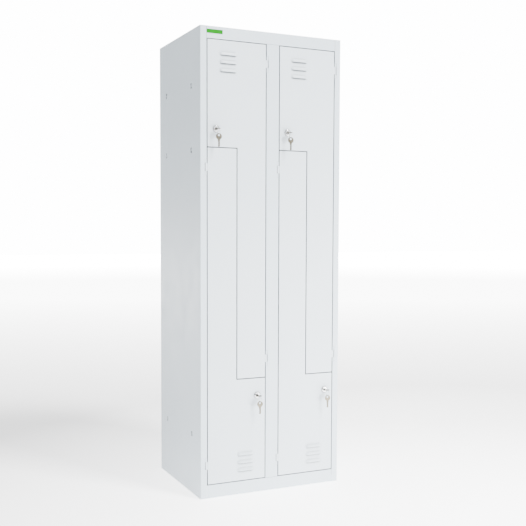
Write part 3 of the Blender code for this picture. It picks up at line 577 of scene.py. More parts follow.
def door_lines(column, hand):
    """The x and z grid lines of a door's face, to the micron, fine over its louvres and its lock."""
    edge, inner = DOOR_HALF - FOLD, DOOR_GAP / 2 + FOLD
    x_marks, _ = on_door(column, hand, np.array([-edge, inner, edge]), 0)
    ups = np.array([NARROW_END - MIDDLE + FOLD, SPLIT + DOOR_GAP / 2 + FOLD, DOOR_TOP - FOLD])
    _, z_marks = on_door(column, hand, 0, ups)
    middle, _ = on_door(column, hand, -LOUVRE_OFFSET, 0)
    lock = lock_place(column, hand)
    block = np.linspace(-LOCK_BLOCK, LOCK_BLOCK, BLOCK_POINTS)
    wide = LOUVRE_WIDTH * np.linspace(-0.5, 0.5, LOUVRE_COLUMNS)
    tall = LOUVRE_HEIGHT * np.linspace(0, 1, LOUVRE_ROWS) ** LOUVRE_SPREAD
    x = [x_marks, middle + wide, lock[0] + block]
    z = [z_marks, lock[2] + block]
    z += [mouth + tall for mouth in louvre_lines(hand)]
    return np.unique(np.round(np.concatenate(x), 6)), np.unique(np.round(np.concatenate(z), 6))


def door_face(column, hand, x, z):
    """The front skin of a door: the cells of its L, standing out by the louvre's rise. Each mouth's grid
    line is doubled, once level with the skin and once on the hood, so the mouth stays open."""
    middle, _ = on_door(column, hand, -LOUVRE_OFFSET, 0)
    lock = lock_place(column, hand)
    above = np.zeros(len(z), dtype=bool)
    for mouth in louvre_lines(hand):
        spot = int(np.argmin(np.abs(z - mouth)))
        z = np.insert(z, spot + 1, z[spot])
        above = np.insert(above, spot + 1, True)
    rise = np.zeros((len(x), len(z)))
    for mouth in louvre_lines(hand):
        level = np.where(np.abs(z - mouth) < TOUCH, 0, z - mouth)
        hood = hood_rise(x[:, None] - middle, level[None, :])
        rise = np.maximum(rise, np.where(((level == 0) & ~above)[None, :], 0, hood))
    points = np.stack(np.broadcast_arrays(x[:, None], FRONT - rise, z[None, :]), axis=-1)
    turn = HANDS[hand]
    mid_x, mid_z = (x[:-1] + x[1:]) / 2, (z[:-1] + z[1:]) / 2
    wide = turn * (mid_z - MIDDLE) > SPLIT + DOOR_GAP / 2 + FOLD
    kept = (turn * (mid_x - COLUMNS[column]) > DOOR_GAP / 2 + FOLD)[:, None] | wide[None, :]
    kept &= (np.diff(z) > 0)[None, :]
    off_x, off_z = np.abs(mid_x - lock[0]), np.abs(mid_z - lock[2])
    kept &= (off_x > LOCK_BLOCK)[:, None] | (off_z > LOCK_BLOCK)[None, :]
    return points.reshape(-1, 3), tiles(len(x), len(z), kept)


def lock_hole(column, hand):
    """The skin round a lock: ruled from the square that the grid leaves out to the round hole."""
    lock = lock_place(column, hand)
    side = np.linspace(-LOCK_BLOCK, LOCK_BLOCK, BLOCK_POINTS)[:-1]
    edge = np.full(BLOCK_POINTS - 1, LOCK_BLOCK)
    lines = [(edge, side), (-side, edge), (-edge, -side), (side, -edge)]
    outer = np.concatenate([np.stack(line, axis=-1) for line in lines])
    inner = outer / np.linalg.norm(outer, axis=1)[:, None] * (BARREL_OUTER + SEAT)
    ring = np.stack([outer, (outer + inner) / 2, inner])
    x, z = lock[0] + ring[..., 0], lock[2] + ring[..., 1]
    points = np.stack([x, np.full(x.shape, FRONT), z], axis=-1)
    return points.reshape(-1, 3), tiles(3, len(outer), round_columns=True)[:, ::-1]


def door_rim(column, hand, x, z):
    """The folded rim of a door: the section of its fold carried round the L. An outer corner is a fan of
    directions from one point, and past it, where the lip turns in, all of them share the mitre. The inner
    corner has the mitre alone."""
    turn = HANDS[hand]
    edge, inner = DOOR_HALF - FOLD, DOOR_GAP / 2 + FOLD
    far, step = DOOR_TOP - FOLD, SPLIT + DOOR_GAP / 2 + FOLD
    near = NARROW_END - MIDDLE + FOLD
    corners = np.array(
        [(inner, near), (edge, near), (edge, far), (-edge, far), (-edge, step), (inner, step)]
    )
    legs = np.roll(corners, -1, axis=0) - corners
    legs /= np.linalg.norm(legs, axis=1)[:, None]
    sides = np.stack([legs[:, 1], -legs[:, 0]], axis=1)
    lines = (np.sort(turn * (x - COLUMNS[column])), np.sort(turn * (z - MIDDLE)))
    swing = np.radians(np.linspace(0, 90, 7))[:, None]
    spots, outs, mitres = [], [], []
    for index, corner in enumerate(corners):
        first, second, leg = sides[index - 1], sides[index], legs[index]
        inner_corner = first @ leg > 0.5
        fan = np.cos(swing) * first + np.sin(swing) * second
        fan = (first + second)[None, :] if inner_corner else fan
        axis = int(abs(leg[1]) > 0.5)
        low, high = sorted((corner[axis], corners[(index + 1) % len(corners)][axis]))
        inside = lines[axis][(lines[axis] > low + TOUCH) & (lines[axis] < high - TOUCH)]
        along = np.repeat(corner[None, :], len(inside), axis=0)
        along[:, axis] = inside[:: int(np.sign(leg[axis]))]
        spots += [np.repeat(corner[None, :], len(fan), axis=0), along]
        outs += [fan, np.repeat(second[None, :], len(inside), axis=0)]
        mitres += [np.repeat((first + second)[None, :], len(fan), axis=0), outs[-1]]
    spots, outs, mitres = np.concatenate(spots), np.concatenate(outs), np.concatenate(mitres)
    path = [(-FOLD, 0), (0, 0), (0, DOOR_DEPTH), (-DOOR_LIP, DOOR_DEPTH)]
    section = rounded_line(path, FOLD)[1:]
    reach = section[:, 0] + FOLD
    shift = np.where(reach[None, :, None] > 0, outs[:, None, :], mitres[:, None, :])
    shift = shift * reach[None, :, None]
    across, up = np.moveaxis(spots[:, None, :] + shift, -1, 0)
    world_x, world_z = on_door(column, hand, across, up)
    points = np.stack(np.broadcast_arrays(world_x, FRONT + section[None, :, 1], world_z), axis=-1)
    quads = tiles(len(spots), len(section), round_rows=True)[:, ::-1]
    return points.reshape(-1, 3), quads


def door(column, hand):
    """A door pan: its face, the skin round its lock and its rim as one sheet with a wall."""
    tag = f"{hand}_{column}"
    x, z = door_lines(column, hand)
    points, quads = np.empty((0, 3)), np.empty((0, 4), dtype=int)
    skins = (door_face(column, hand, x, z), lock_hole(column, hand), door_rim(column, hand, x, z))
    for more, faces in skins:
        quads = np.concatenate([quads, faces + len(points)])
        points = np.concatenate([points, more])
    piece = laid(f"door_skin_{tag}", points, quads, DOOR, SHEET)
    settle(piece, f"door_{tag}", "door_paint", f"door_{tag}")


# Hinges

def rolled_leaf(name, x, towards, low, high, material):
    """A hinge leaf: a flat plate that runs into a roll of 270 degrees round the pin, carried along z."""
    roll = BARREL_RADIUS - LEAF_SHEET / 2
    plane = FRONT + SHEET - WELD_BITE + LEAF_SHEET / 2
    turn = np.radians(np.linspace(0, 270, 28))
    barrel = np.stack([x - towards * roll * np.sin(turn), KNUCKLE_DEPTH - roll * np.cos(turn)], axis=-1)
    flat = [(x + towards * LEAF_LENGTH, plane), (x + towards * BARREL_RADIUS, plane)]
    path = np.concatenate([flat, barrel])
    points = np.empty((len(path), 2, 3))
    points[..., :2] = path[:, None, :]
    points[..., 2] = (low, high)
    return laid(name, points, tiles(len(path), 2), material, LEAF_SHEET, 0.0)


def hinges(column, hand):
    """Both hinges of a door: fixed leaves on the stile, the moving leaf on the door and the pin."""
    turn, tag = HANDS[hand], f"{hand}_{column}"
    x, _ = on_door(column, hand, DOOR_HALF + PIVOT_OFFSET, 0)
    for index, (low, high) in enumerate(hinge_spans(hand), 1):
        inner = FRAME_KNUCKLE + HINGE_PLAY
        moving = rolled_leaf(f"moving_leaf_{tag}_{index}", x, -turn, low + inner, high - inner, DOOR)
        settle(moving, f"door_{tag}", "door_paint")
        for end, start in (("low", low), ("high", high - FRAME_KNUCKLE)):
            name, stop = f"fixed_leaf_{tag}_{index}_{end}", start + FRAME_KNUCKLE
            leaf = rolled_leaf(name, x, turn, start, stop, CARCASS)
            settle(leaf, "cabinet", "carcass_paint")
        half = HINGE_LENGTH / 2
        corners = [(0, half), (PIN_RADIUS, half), (PIN_RADIUS, -half), (0, -half)]
        place = (x, KNUCKLE_DEPTH, (low + high) / 2)
        profile = rounded_line(corners, PIN_ROUND)
        pin = turned(f"pin_{tag}_{index}", profile, place, FLAT, ZINC, steps=32)
        settle(pin, "cabinet", "zinc_steel", f"hinge_pin_{tag}_{index}")


def notches(column, hand):
    """The windows in a stile that clear the hinge barrels of a door."""
    turn = HANDS[hand]
    x, _ = on_door(column, hand, DOOR_HALF + PIVOT_OFFSET, 0)
    clear = BARREL_RADIUS + NOTCH_CLEARANCE
    near, far = sorted((x - turn * (BARREL_RADIUS + OVERRUN), x + turn * clear))
    rear = KNUCKLE_DEPTH + clear
    return [
        ((near, FRONT - OVERRUN, low - NOTCH_CLEARANCE), (far, rear, high + NOTCH_CLEARANCE))
        for low, high in hinge_spans(hand)
    ]


# Carcass

def stop_ends(left, right):
    """The windows that keep a stile's stop flange clear of those of the rails."""
    reach = STOP_LIP + SEAT
    ends = ((-OVERRUN, KICK + reach), (RAIL - reach, HEIGHT))
    return [((left, STOP - FOLD, low), (right, STOP_BACK + OVERRUN, high)) for low, high in ends]


def side_panel(column):
    """An outer wall folded from one sheet: rear flange, web, stile, its return and the door stop."""
    side = -1 if column == "left" else 1
    outer = WIDTH / 2
    stile = outer - STILE_WIDTH
    path = [
        (outer - REAR_FLANGE, REAR),
        (outer, REAR),
        (outer, FRONT),
        (stile, FRONT),
        (stile, STOP),
        (stile - STOP_LIP, STOP),
    ]
    path = [(side * x, y) for x, y in path][::-side]
    reach = (side * (stile + SHEET + OVERRUN), side * (stile - STOP_LIP - OVERRUN))
    windows = stop_ends(*sorted(reach))
    windows += notches(column, "lower" if column == "left" else "upper")
    left, right = sorted((side * (outer - OVERRUN), side * (outer + OVERRUN)))
    for level in (HAT_LEVEL, MIDDLE - side * SPLIT, SHOE_LEVEL):
        middle = level - SHELF_FLANGE / 2
        for y in (FRONT + SLOT_FRONT, REAR - SLOT_REAR):
            low = (left, y - SLOT_WIDTH / 2, middle - SLOT_HEIGHT / 2)
            windows.append((low, (right, y + SLOT_WIDTH / 2, middle + SLOT_HEIGHT / 2)))
    panel = folded_sheet(f"side_skin_{column}", path, 0, WALL_TOP, FLAT, CARCASS, windows)
    settle(panel, "cabinet", "carcass_paint", f"side_panel_{column}")


def centre_post():
    """The stile between the columns: a hat section with a door stop on each side."""
    half = POST_WIDTH / 2
    path = [
        (-half - STOP_LIP, STOP),
        (-half, STOP),
        (-half, FRONT),
        (half, FRONT),
        (half, STOP),
        (half + STOP_LIP, STOP),
    ]
    reach = half + STOP_LIP + OVERRUN
    windows = stop_ends(-reach, reach) + notches("left", "upper") + notches("right", "lower")
    post = folded_sheet("post_skin", path, KICK + SEAT, RAIL - SEAT, FLAT, CARCASS, windows)
    settle(post, "cabinet", "carcass_paint", "centre_post")


def rail_ends(low, high):
    """The windows that clear both ends of a rail from the stiles."""
    inner, outer = WIDTH / 2 - STILE_WIDTH - SEAT, WIDTH / 2 + OVERRUN
    spans = ((-outer, -inner), (inner, outer))
    return [((FRONT - OVERRUN, low, left), (STOP_BACK, high, right)) for left, right in spans]


def top_panel():
    """The roof, folded down into the front rail, its return and the door stop."""
    path = [(REAR, HEIGHT), (FRONT, HEIGHT), (FRONT, RAIL), (STOP, RAIL), (STOP, RAIL - STOP_LIP)]
    windows = rail_ends(RAIL - STOP_LIP - OVERRUN, HEIGHT - SHEET - WELD_BITE)
    roof = folded_sheet("roof_skin", path, -WIDTH / 2, WIDTH / 2, FACING_RIGHT, CARCASS, windows)
    settle(roof, "cabinet", "carcass_paint", "top_panel")


def floor_panel():
    """The floor, folded down into the kick rail and its foot, and the stop strip welded on it."""
    path = [(BACK_FRONT - SEAT, KICK), (FRONT, KICK), (FRONT, 0), (FRONT + KICK_FOOT, 0)]
    reach = WIDTH / 2 - SHEET - SEAT
    windows = rail_ends(-OVERRUN, KICK + OVERRUN)
    base = folded_sheet("floor_skin", path, -reach, reach, FACING_RIGHT, CARCASS, windows)
    settle(base, "cabinet", "carcass_paint", "floor_panel")
    rail = WIDTH / 2 - STILE_WIDTH - SEAT
    path = [(STOP, KICK + STOP_LIP), (STOP, KICK - WELD_BITE)]
    strip = folded_sheet("floor_stop", path, -rail, rail, FACING_RIGHT, CARCASS)
    settle(strip, "cabinet", "carcass_paint")


def coat_rail(node):
    """A coat rail turned with a rounded fixing flange at each end."""
    low, high = (np.array(corner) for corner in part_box(node))
    half = (high[0] - low[0]) / 2
    rim = (high[2] - low[2]) / 2
    corners = [
        (0, half),
        (rim, half),
        (rim, half - RAIL_FLANGE_SHEET),
        (RAIL_RADIUS, half - RAIL_FLANGE_SHEET),
        (RAIL_RADIUS, RAIL_FLANGE_SHEET - half),
        (rim, RAIL_FLANGE_SHEET - half),
        (rim, -half),
        (0, -half),
    ]
    profile = rounded_line(corners, np.array(RAIL_ROUNDS + RAIL_ROUNDS[::-1]))
    rail = turned(f"tube_{node}", profile, (low + high) / 2, FACING_RIGHT, ZINC)
    settle(rail, "cabinet", "zinc_steel", node)


def rounded_box(low, high, radius, inset=0.0):
    """Points of a rectangle with round corners, moved in by an inset, anticlockwise."""
    turn = np.radians(np.arange(4)[:, None] * 90 + np.linspace(0, 90, 7)[None, :])
    x = np.where([[1], [0], [0], [1]], high[0] - radius, low[0] + radius)
    y = np.where([[1], [1], [0], [0]], high[1] - radius, low[1] + radius)
    round_x, round_y = (radius - inset) * np.cos(turn), (radius - inset) * np.sin(turn)
    return np.stack([x + round_x, y + round_y], axis=-1).reshape(-1, 2)


def label():
    """The blank plate at the top left of the front, its edges rounded over."""
    low, high = (np.array(corner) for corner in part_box("label_plate"))
    middle, half = (low + high) / 2, (high - low) / 2
    thick, corner = half[1], half[[0, 2]]
    turn = np.radians(np.linspace(90, -90, 9))
    rings = []
    for lift, inset in zip(np.sin(turn), 1 - np.cos(turn)):
        rings.append((rounded_box(-corner, corner, LABEL_CORNER, thick * inset), thick * lift))
    pole = np.zeros_like(rings[0][0])
    rings = [(pole, thick), *rings, (pole, -thick)]
    settle(lofted("label", rings, middle, FACING_FRONT, GREEN), "cabinet", "label_green", "label_plate")


# Locks

def lock_housing(tag, place):
    """The chrome body of a cam lock: a flange with a soft edge, and a barrel whose radius falls and rises
    with a triangle wave of the height less the turn, which is its thread."""
    bore = PLUG_RADIUS + SEAT
    corners = [
        (bore, -BARREL_LENGTH),
        (bore, FLANGE_HEIGHT),
        (FLANGE_RADIUS, FLANGE_HEIGHT),
        (FLANGE_RADIUS, SEAT),
        (BARREL_OUTER, SEAT),
        (BARREL_OUTER, -THREAD_START),
    ]
    rounds = np.array([FINE_EDGE, FLANGE_ROUND, CRISP_EDGE, CRISP_EDGE])
    profile = rounded_line(corners, rounds, 8)
    rings = [(circle(radius), height) for radius, height in profile]
    turn = np.arange(ROUND_POINTS) / ROUND_POINTS
    for height in np.arange(-THREAD_START, CRISP_EDGE - BARREL_LENGTH, -THREAD_PITCH / 8):
        wave = np.abs(2 * np.mod(height / THREAD_PITCH - turn, 1) - 1)
        rings.append((circle(1.0) * (BARREL_OUTER - THREAD_DEPTH * wave)[:, None], height))
    rings += [(circle(BARREL_OUTER - THREAD_DEPTH), -BARREL_LENGTH), (circle(bore), -BARREL_LENGTH)]
    body = lofted(f"lock_body_{tag}", rings, place, FACING_FRONT, CHROME, corner=35.0)
    settle(body, f"door_{tag}", "lock_chrome", f"lock_housing_{tag}")


def lock_nut(tag, place):
    """The hexagon nut: its radius is the flat over the cosine of the turn from it, cut by a cone."""
    turn = np.arange(ROUND_POINTS) * 2 * np.pi / ROUND_POINTS
    flat = NUT_RADIUS * math.cos(math.pi / 6)
    hexagon = flat / np.cos(np.mod(turn, math.pi / 3) - math.pi / 6)
    front = -SHEET - SEAT
    depths = NUT_CHAMFER * np.array([0, 0.3, 0.6, 1])
    bore = BARREL_OUTER + NUT_PLAY
    rings = [(circle(bore), front - NUT_HEIGHT), (circle(bore), front)]
    for depth in np.concatenate([depths, (NUT_HEIGHT - depths)[::-1]]):
        near = min(depth, NUT_HEIGHT - depth)
        radius = np.minimum(hexagon, flat + NUT_SLOPE * near)
        rings.append((circle(1.0) * radius[:, None], front - depth))
    rings.append((circle(bore), front - NUT_HEIGHT))
    nut = lofted(f"lock_nut_{tag}", rings, place, FACING_FRONT, ZINC)
    settle(nut, f"door_{tag}", "zinc_steel")


def square(half):
    """Points of a square by turn, with a point on each corner."""
    line = circle(1.0)
    return half * line / np.abs(line).max(axis=1)[:, None]


def slot_outline(half_width, half_height):
    """Points of a slot: a quarter of them on each side, thicker towards its corners."""
    share = np.sin(np.linspace(-0.5, 0.5, ROUND_POINTS // 4, endpoint=False) * np.pi)
    edge = np.ones_like(share)
    lines = [(edge, share), (-share, edge), (-edge, -share), (share, -edge)]
    line = np.concatenate([np.stack(part, axis=-1) for part in lines])
    return np.roll(line, -(ROUND_POINTS // 8), axis=0) * (half_width, half_height)


def lock_plug(tag, place):
    """The turning core: keyway, face and sides in one surface, and behind it the shank and cam screw."""
    face = FACE_OUT
    across, thick = KEY_BLADE_WIDTH / 2 + SEAT, KEY_SHEET / 2 + SEAT
    bottom = KEY_OUT - KEY_LENGTH - 2 * SEAT
    rings = [
        (circle(0.0), bottom),
        (slot_outline(across, thick), bottom),
        (slot_outline(across, thick), face - FINE_EDGE),
        (slot_outline(across + FINE_EDGE, thick + FINE_EDGE), face),
        (circle(PLUG_RADIUS - 2 * FINE_EDGE), face),
        (circle(PLUG_RADIUS - FINE_EDGE / 2), face - FINE_EDGE / 2),
        (circle(PLUG_RADIUS), face - 2 * FINE_EDGE),
        (circle(PLUG_RADIUS), -BARREL_LENGTH),
        (square(SHANK_SIDE / 2), -BARREL_LENGTH),
        (square(SHANK_SIDE / 2), -SHANK_END),
        (circle(SCREW_RADIUS), -SHANK_END),
    ]
    corners = [(SCREW_RADIUS, 0), (SCREW_RADIUS, -SCREW_HEIGHT), (0, -SCREW_HEIGHT)]
    head = rounded_line(corners, SCREW_ROUND)[1:-1]
    rings += [(circle(radius), height - SHANK_END) for radius, height in head]
    cross = circle(1.0)
    cross *= np.where(np.abs(cross).min(axis=1) < CROSS_HALF, CROSS_REACH, CROSS_ROOT)[:, None]
    end = -SHANK_END - SCREW_HEIGHT
    rings += [(cross, end), (cross * CROSS_TAPER, end + CROSS_DEPTH), (circle(0.0), end + CROSS_TIP)]
    core = lofted(f"lock_core_{tag}", rings, place, FACING_FRONT, CHROME, corner=30.0)
    settle(core, f"lock_{tag}", "lock_chrome", f"lock_plug_{tag}")


def cam_outline(inset=0.0):
    """The tongue's outline by turn from its hole: straight sides, a half circle at either end. The turns
    are drawn together towards the ends, where it bends."""
    line = circle(1.0) * (0.35, 1.0)
    line /= np.linalg.norm(line, axis=1)[:, None]
    half = CAM_WIDTH / 2
    end = half - CAM_REACH
    past = line[:, 1] * end
    tip = past + np.sqrt(np.maximum(past**2 - end**2 + half**2, 0))
    side = half / np.maximum(np.abs(line[:, 0]), 1e-6)
    reach = np.where(line[:, 1] > 0, half, np.where(line[:, 1] * side < end, tip, side))
    return line * (reach - inset)[:, None]


def lock_cam(tag, place, hand):
    """The tongue behind the door stop, with a square hole and edges rounded over."""
    rim = cam_outline()
    hole = rim / np.abs(rim).max(axis=1)[:, None] * (SHANK_SIDE / 2 + SEAT)
    half, edge = CAM_SHEET / 2, CAM_EDGE
    inner, outer = cam_outline(edge), cam_outline(edge / 4)
    rings = [(hole, -half), (hole, half), (inner, half), (outer, half - edge / 3)]
    rings += [(rim, half - edge), (rim, edge - half), (outer, edge / 3 - half)]
    rings += [(inner, -half), (hole, -half)]
    rings = [(line * HANDS[hand], height) for line, height in rings]
    middle = place + np.array([0, BARREL_LENGTH + SEAT + CAM_SHEET / 2, 0])
    cam = lofted(f"tongue_{tag}", rings, middle, FACING_FRONT, ZINC)
    settle(cam, f"lock_{tag}", "zinc_steel", f"lock_cam_{tag}")


# Keys and rings

def key_side(bite):
    """Half of a key's outline from the far edge of its bow to its tip, with bites of this depth."""
    neck, blade = KEY_NECK_WIDTH / 2, KEY_BLADE_WIDTH / 2
    last = math.asin(neck / KEY_BOW_RADIUS) - math.pi / 2
    turn = np.linspace(math.pi / 2, last, BOW_POINTS)
    bow = KEY_BOW_RADIUS * np.stack([np.cos(turn), np.sin(turn) - 1], axis=-1)
    corners = [tuple(bow[-1]), (neck, -KEY_SHANK), (blade, -KEY_SHANK - KEY_SHOULDER)]
    for index in range(BITES):
        top = -KEY_SHANK - BITE_START - BITE_PITCH * index
        corners += [(blade, top), (blade - bite, top - BITE), (blade, top - 2 * BITE)]
    corners += [(blade, KEY_TIP - KEY_LENGTH), (blade - KEY_TIP, -KEY_LENGTH), (0, -KEY_LENGTH)]
    neck_fan = np.repeat(bow[-1:], NECK_POINTS, axis=0)
    return np.concatenate([bow, neck_fan, rounded_line(corners, KEY_ROUND, 4)[1:]])


def key_rail():
    """The line that both halves of a key are ruled to: round the eye while the outline follows the bow,
    then down the middle, level with the plain half's points."""
    around = np.linspace(math.pi / 2, -math.pi / 2, BOW_POINTS)
    eye = KEY_HOLE_RADIUS * np.stack([np.cos(around), np.sin(around) - 1], axis=-1) - (0, KEY_EYE)
    plain = key_side(0.0)[BOW_POINTS - 1:, 1]
    neck = np.linspace(eye[-1, 1], plain[0], NECK_POINTS + 1)[1:]
    drop = np.minimum.accumulate(np.concatenate([neck, plain[NECK_POINTS + 1:]]))
    drop[-1] = drop[-2]
    return np.concatenate([eye, np.stack([np.zeros(len(drop)), drop], axis=-1)])


def key_half(bite):
    """One half of a key in its own plane: across from the rail, round the edge and back behind it, with a
    groove milled down the blade."""
    outer, inner = key_side(bite), key_rail()
    tangent = np.gradient(outer, axis=0)
    tangent[np.linalg.norm(tangent, axis=1) < 1e-9] = (0, -1)
    tangent /= np.linalg.norm(tangent, axis=1)[:, None]
    tangent[0], tangent[-1] = (1, 0), (-1, 0)
    out = np.stack([-tangent[:, 1], tangent[:, 0]], axis=-1)
    soft = np.minimum(KEY_EDGE, np.linalg.norm(outer - inner, axis=1) / 2)[:, None]
    flat = outer - out * soft
    flat[:, 0] = np.maximum(flat[:, 0], 0)
    share = np.linspace(0, 1, 13)
    ruled = inner[:, None, :] + (flat - inner)[:, None, :] * share[None, :, None]
    half = KEY_SHEET / 2
    groove = np.clip((GROOVE_HALF - ruled[..., 0]) / GROOVE_SLOPE, 0, 1)
    groove *= np.clip((-KEY_SHANK - GROOVE_START - ruled[..., 1]) / GROOVE_START, 0, 1)
    face = half - GROOVE_DEPTH * groove
    swing = np.radians(np.linspace(90, -90, 9))[1:-1]
    rounded = flat[:, None, :] + out[:, None, :] * soft[:, :, None] * np.cos(swing)[None, :, None]
    climb = np.sin(swing)[None, :]
    lift = np.where(climb >= 0, half - soft, soft - half) + soft * climb
    lines = np.concatenate([ruled, rounded, ruled[:, ::-1]], axis=1)
    heights = np.concatenate([face, lift, -face[:, ::-1]], axis=1)
    points = np.concatenate([lines, heights[..., None]], axis=-1)
    rows, columns = points.shape[:2]
    kept = np.ones((rows - 1, columns), dtype=bool)
    kept[:, -1] = np.arange(rows - 1) < BOW_POINTS - 1
    return points, tiles(rows, columns, kept, round_columns=True)


def key(name, place, axes, body, node):
    """A key: a plain half and a bitten half that meet down the middle."""
    plain, plain_quads = key_half(0.0)
    bitten, bitten_quads = key_half(BITE)
    bitten = bitten * (-1, 1, 1)
    points = np.concatenate([plain.reshape(-1, 3), bitten.reshape(-1, 3)])
    quads = np.concatenate([plain_quads, bitten_quads[:, ::-1] + plain.size // 3])
    piece = laid(name, np.asarray(place) + points @ axes, quads, NICKEL)
    settle(piece, body, "key_nickel", node)


def ring_middle(place):
    """The middle of a ring that hangs in the eye of the key."""
    drop = KEY_SHEET / 2 + RING_PLAY + RING_WIRE - RING_RADIUS
    return place + np.array([0, -EYE_OUT, drop])


def key_ring(tag, place):
    """A split ring: round wire wound twice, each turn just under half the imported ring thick, that crosses
    from one side to the other over a part of a turn. Its ends run to a point."""
    turns = np.linspace(0, 2, RING_POINTS)
    turn = 2 * np.pi * turns + np.radians(RING_START)
    ramp = np.clip((turns - 1) / RING_CROSSING + 0.5, 0, 1)
    half = RING_WIRE / 2
    wire = np.full((RING_POINTS, 1), half - RING_SLIT)
    wire[[0, -1]] = 0
    around = np.arange(WIRE_POINTS) * 2 * np.pi / WIRE_POINTS
    radius = RING_RADIUS + wire * np.cos(around)
    side = half * (1 - 2 * ramp)[:, None] + wire * np.sin(around)
    y = radius * np.cos(turn)[:, None]
    z = radius * np.sin(turn)[:, None]
    points = ring_middle(place) + np.stack([side, y, z], axis=-1)
    quads = tiles(RING_POINTS, WIRE_POINTS, round_columns=True)
    piece = laid(f"split_ring_{tag}", points, quads, ZINC)
    settle(piece, f"ring_{tag}", "zinc_steel", f"key_ring_{tag}")


def lock_set(column, hand):
    """A lock with its key, ring and spare key."""
    tag = f"{hand}_{column}"
    place = lock_place(column, hand)
    lock_housing(tag, place)
    lock_nut(tag, place)
    lock_plug(tag, place)
    lock_cam(tag, place, hand)
    bow_end = place - (0, KEY_OUT, 0)
    key(f"turning_key_{tag}", bow_end, POINTING_IN, f"key_{tag}", f"key_{tag}")
    key_ring(tag, place)
    top = ring_middle(place) + np.array([0, 0, RING_WIRE + RING_PLAY + KEY_EYE - RING_RADIUS])
    key(f"hanging_key_{tag}", top, FACING_FRONT, f"spare_{tag}", f"spare_key_{tag}")


for column in COLUMNS:
    side_panel(column)
    for hand in HANDS:
        coat_rail(f"coat_rail_{hand}_{column}")
        door(column, hand)
        hinges(column, hand)
        lock_set(column, hand)
centre_post()
top_panel()
floor_panel()
label()


# Studio

BACKDROP = (0.42, 0.91, 0.0)
BACKDROP_LEVEL = 15.0
REFLECTOR = (0.42, -0.905, -0.03)
REFLECTOR_LEVEL = 5.4
SKY_COLOUR = (0.985, 0.992, 1.0, 1)
SKY_LEVEL = 0.30
POOL = (0.8, -1.1, 0.0)
FLOOR_HALF = 30.0
CAMERA_PLACE = (-1.446, -3.306, 1.043)
CAMERA_YAW, CAMERA_PITCH, CAMERA_ROLL = 25.851, -3.594, 0.26
FOCAL_LENGTH = 59.23
FILM_WIDTH = 36.0
LENS_SHIFT = 0.038


def studio_world():
    """Even soft light from all round, a bright card that the lock flanges mirror, and behind the locker a
    white backdrop that is only seen, so that it doesn't light the side turned to it."""
    world = bpy.data.worlds.new("studio")
    world.use_nodes = True
    tree = world.node_tree
    where = tree.nodes.new("ShaderNodeTexCoord")
    seen = tree.nodes.new("ShaderNodeLightPath").outputs["Is Camera Ray"]
    backdrop = between(tree, seen, 0.0, BACKDROP_LEVEL, start=0.0, stop=1.0)
    way = where.outputs["Generated"]
    card = toward(tree, way, REFLECTOR, SKY_LEVEL, REFLECTOR_LEVEL, start=0.962, stop=0.985)
    sky = tree.nodes["Background"]
    sky.inputs["Color"].default_value = SKY_COLOUR
    tree.links.new(joined(tree, backdrop, card), sky.inputs["Strength"])
    bpy.context.scene.world = world


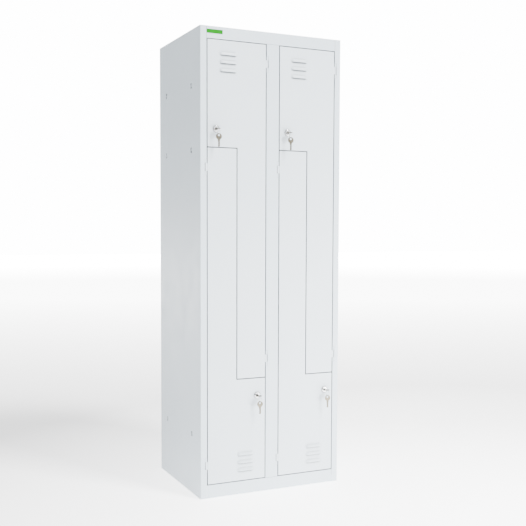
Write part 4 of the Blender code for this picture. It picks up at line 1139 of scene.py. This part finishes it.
def studio_floor():
    """A pale floor that glows, most of all before the locker and far off, where it runs into the white, so
    that no hard shadow lies on it and no horizon shows."""
    made, tree, shader, where = finish("studio_floor", 0.0, 0.75)
    pale = blended(tree, noise(tree, where, scale=1.5), (0.93, 0.93, 0.93), (0.95, 0.95, 0.95))
    tree.links.new(pale, shader.inputs["Base Color"])
    shader.inputs["Emission Color"].default_value = (1, 1, 1, 1)
    away = tree.nodes.new("ShaderNodeVectorMath")
    away.operation = "DISTANCE"
    away.inputs[1].default_value = POOL
    tree.links.new(where, away.inputs[0])
    pool = between(tree, away.outputs["Value"], 5.2, 1.1, start=0.4, stop=2.8)
    rim = between(tree, away.outputs["Value"], 0.0, 13.0, start=15.0, stop=28.0)
    sweep = toward(tree, where, BACKDROP, 0.6, 8.6, start=1.0, stop=9.0)
    glow = joined(tree, joined(tree, pool, rim), sweep)
    tree.links.new(glow, shader.inputs["Emission Strength"])
    span = np.linspace(-FLOOR_HALF, FLOOR_HALF, 13)
    points = np.stack(np.broadcast_arrays(span[:, None], span[None, :], 0.0), axis=-1)
    laid("studio_floor", points, tiles(len(span), len(span)), made)


def facing(place, forward, roll=0.0):
    """The pose of something at a place that looks along forward, rolled by some degrees."""
    forward = np.array(forward) / np.linalg.norm(forward)
    right = np.cross(forward, [0, 0, 1])
    right /= np.linalg.norm(right)
    up = np.cross(right, forward)
    turn = math.radians(roll)
    level = right * math.cos(turn) + up * math.sin(turn)
    upright = up * math.cos(turn) - right * math.sin(turn)
    rows = [[level[i], upright[i], -forward[i], place[i]] for i in range(3)]
    return Matrix((*rows, (0, 0, 0, 1)))


def softbox(name, place, aim, size, power):
    """A square soft light that looks from one place to another."""
    lamp = bpy.data.lights.new(name, "AREA")
    lamp.shape = "SQUARE"
    lamp.size = size
    lamp.energy = power
    holder = bpy.data.objects.new(name, lamp)
    bpy.context.scene.collection.objects.link(holder)
    holder.matrix_world = facing(place, np.array(aim) - np.array(place))


def photographer():
    """The camera where the photograph was taken from."""
    lens = bpy.data.cameras.new("photographer")
    lens.lens = FOCAL_LENGTH
    lens.sensor_width = FILM_WIDTH
    lens.shift_x, lens.shift_y = -LENS_SHIFT, LENS_SHIFT
    yaw, pitch = math.radians(CAMERA_YAW), math.radians(CAMERA_PITCH)
    level = math.cos(pitch)
    forward = (math.sin(yaw) * level, math.cos(yaw) * level, math.sin(pitch))
    camera = bpy.data.objects.new("photographer", lens)
    camera.matrix_world = facing(CAMERA_PLACE, forward, CAMERA_ROLL)
    bpy.context.scene.collection.objects.link(camera)
    bpy.context.scene.camera = camera


studio_world()
studio_floor()
softbox("front_softbox", (2.4, -4.5, 7.0), aim=(0.0, 0.0, 0.7), size=1.6, power=1350.0)
softbox("low_softbox", (1.5, -2.2, 0.4), aim=(0.0, 0.0, 0.2), size=1.0, power=85.0)
photographer()
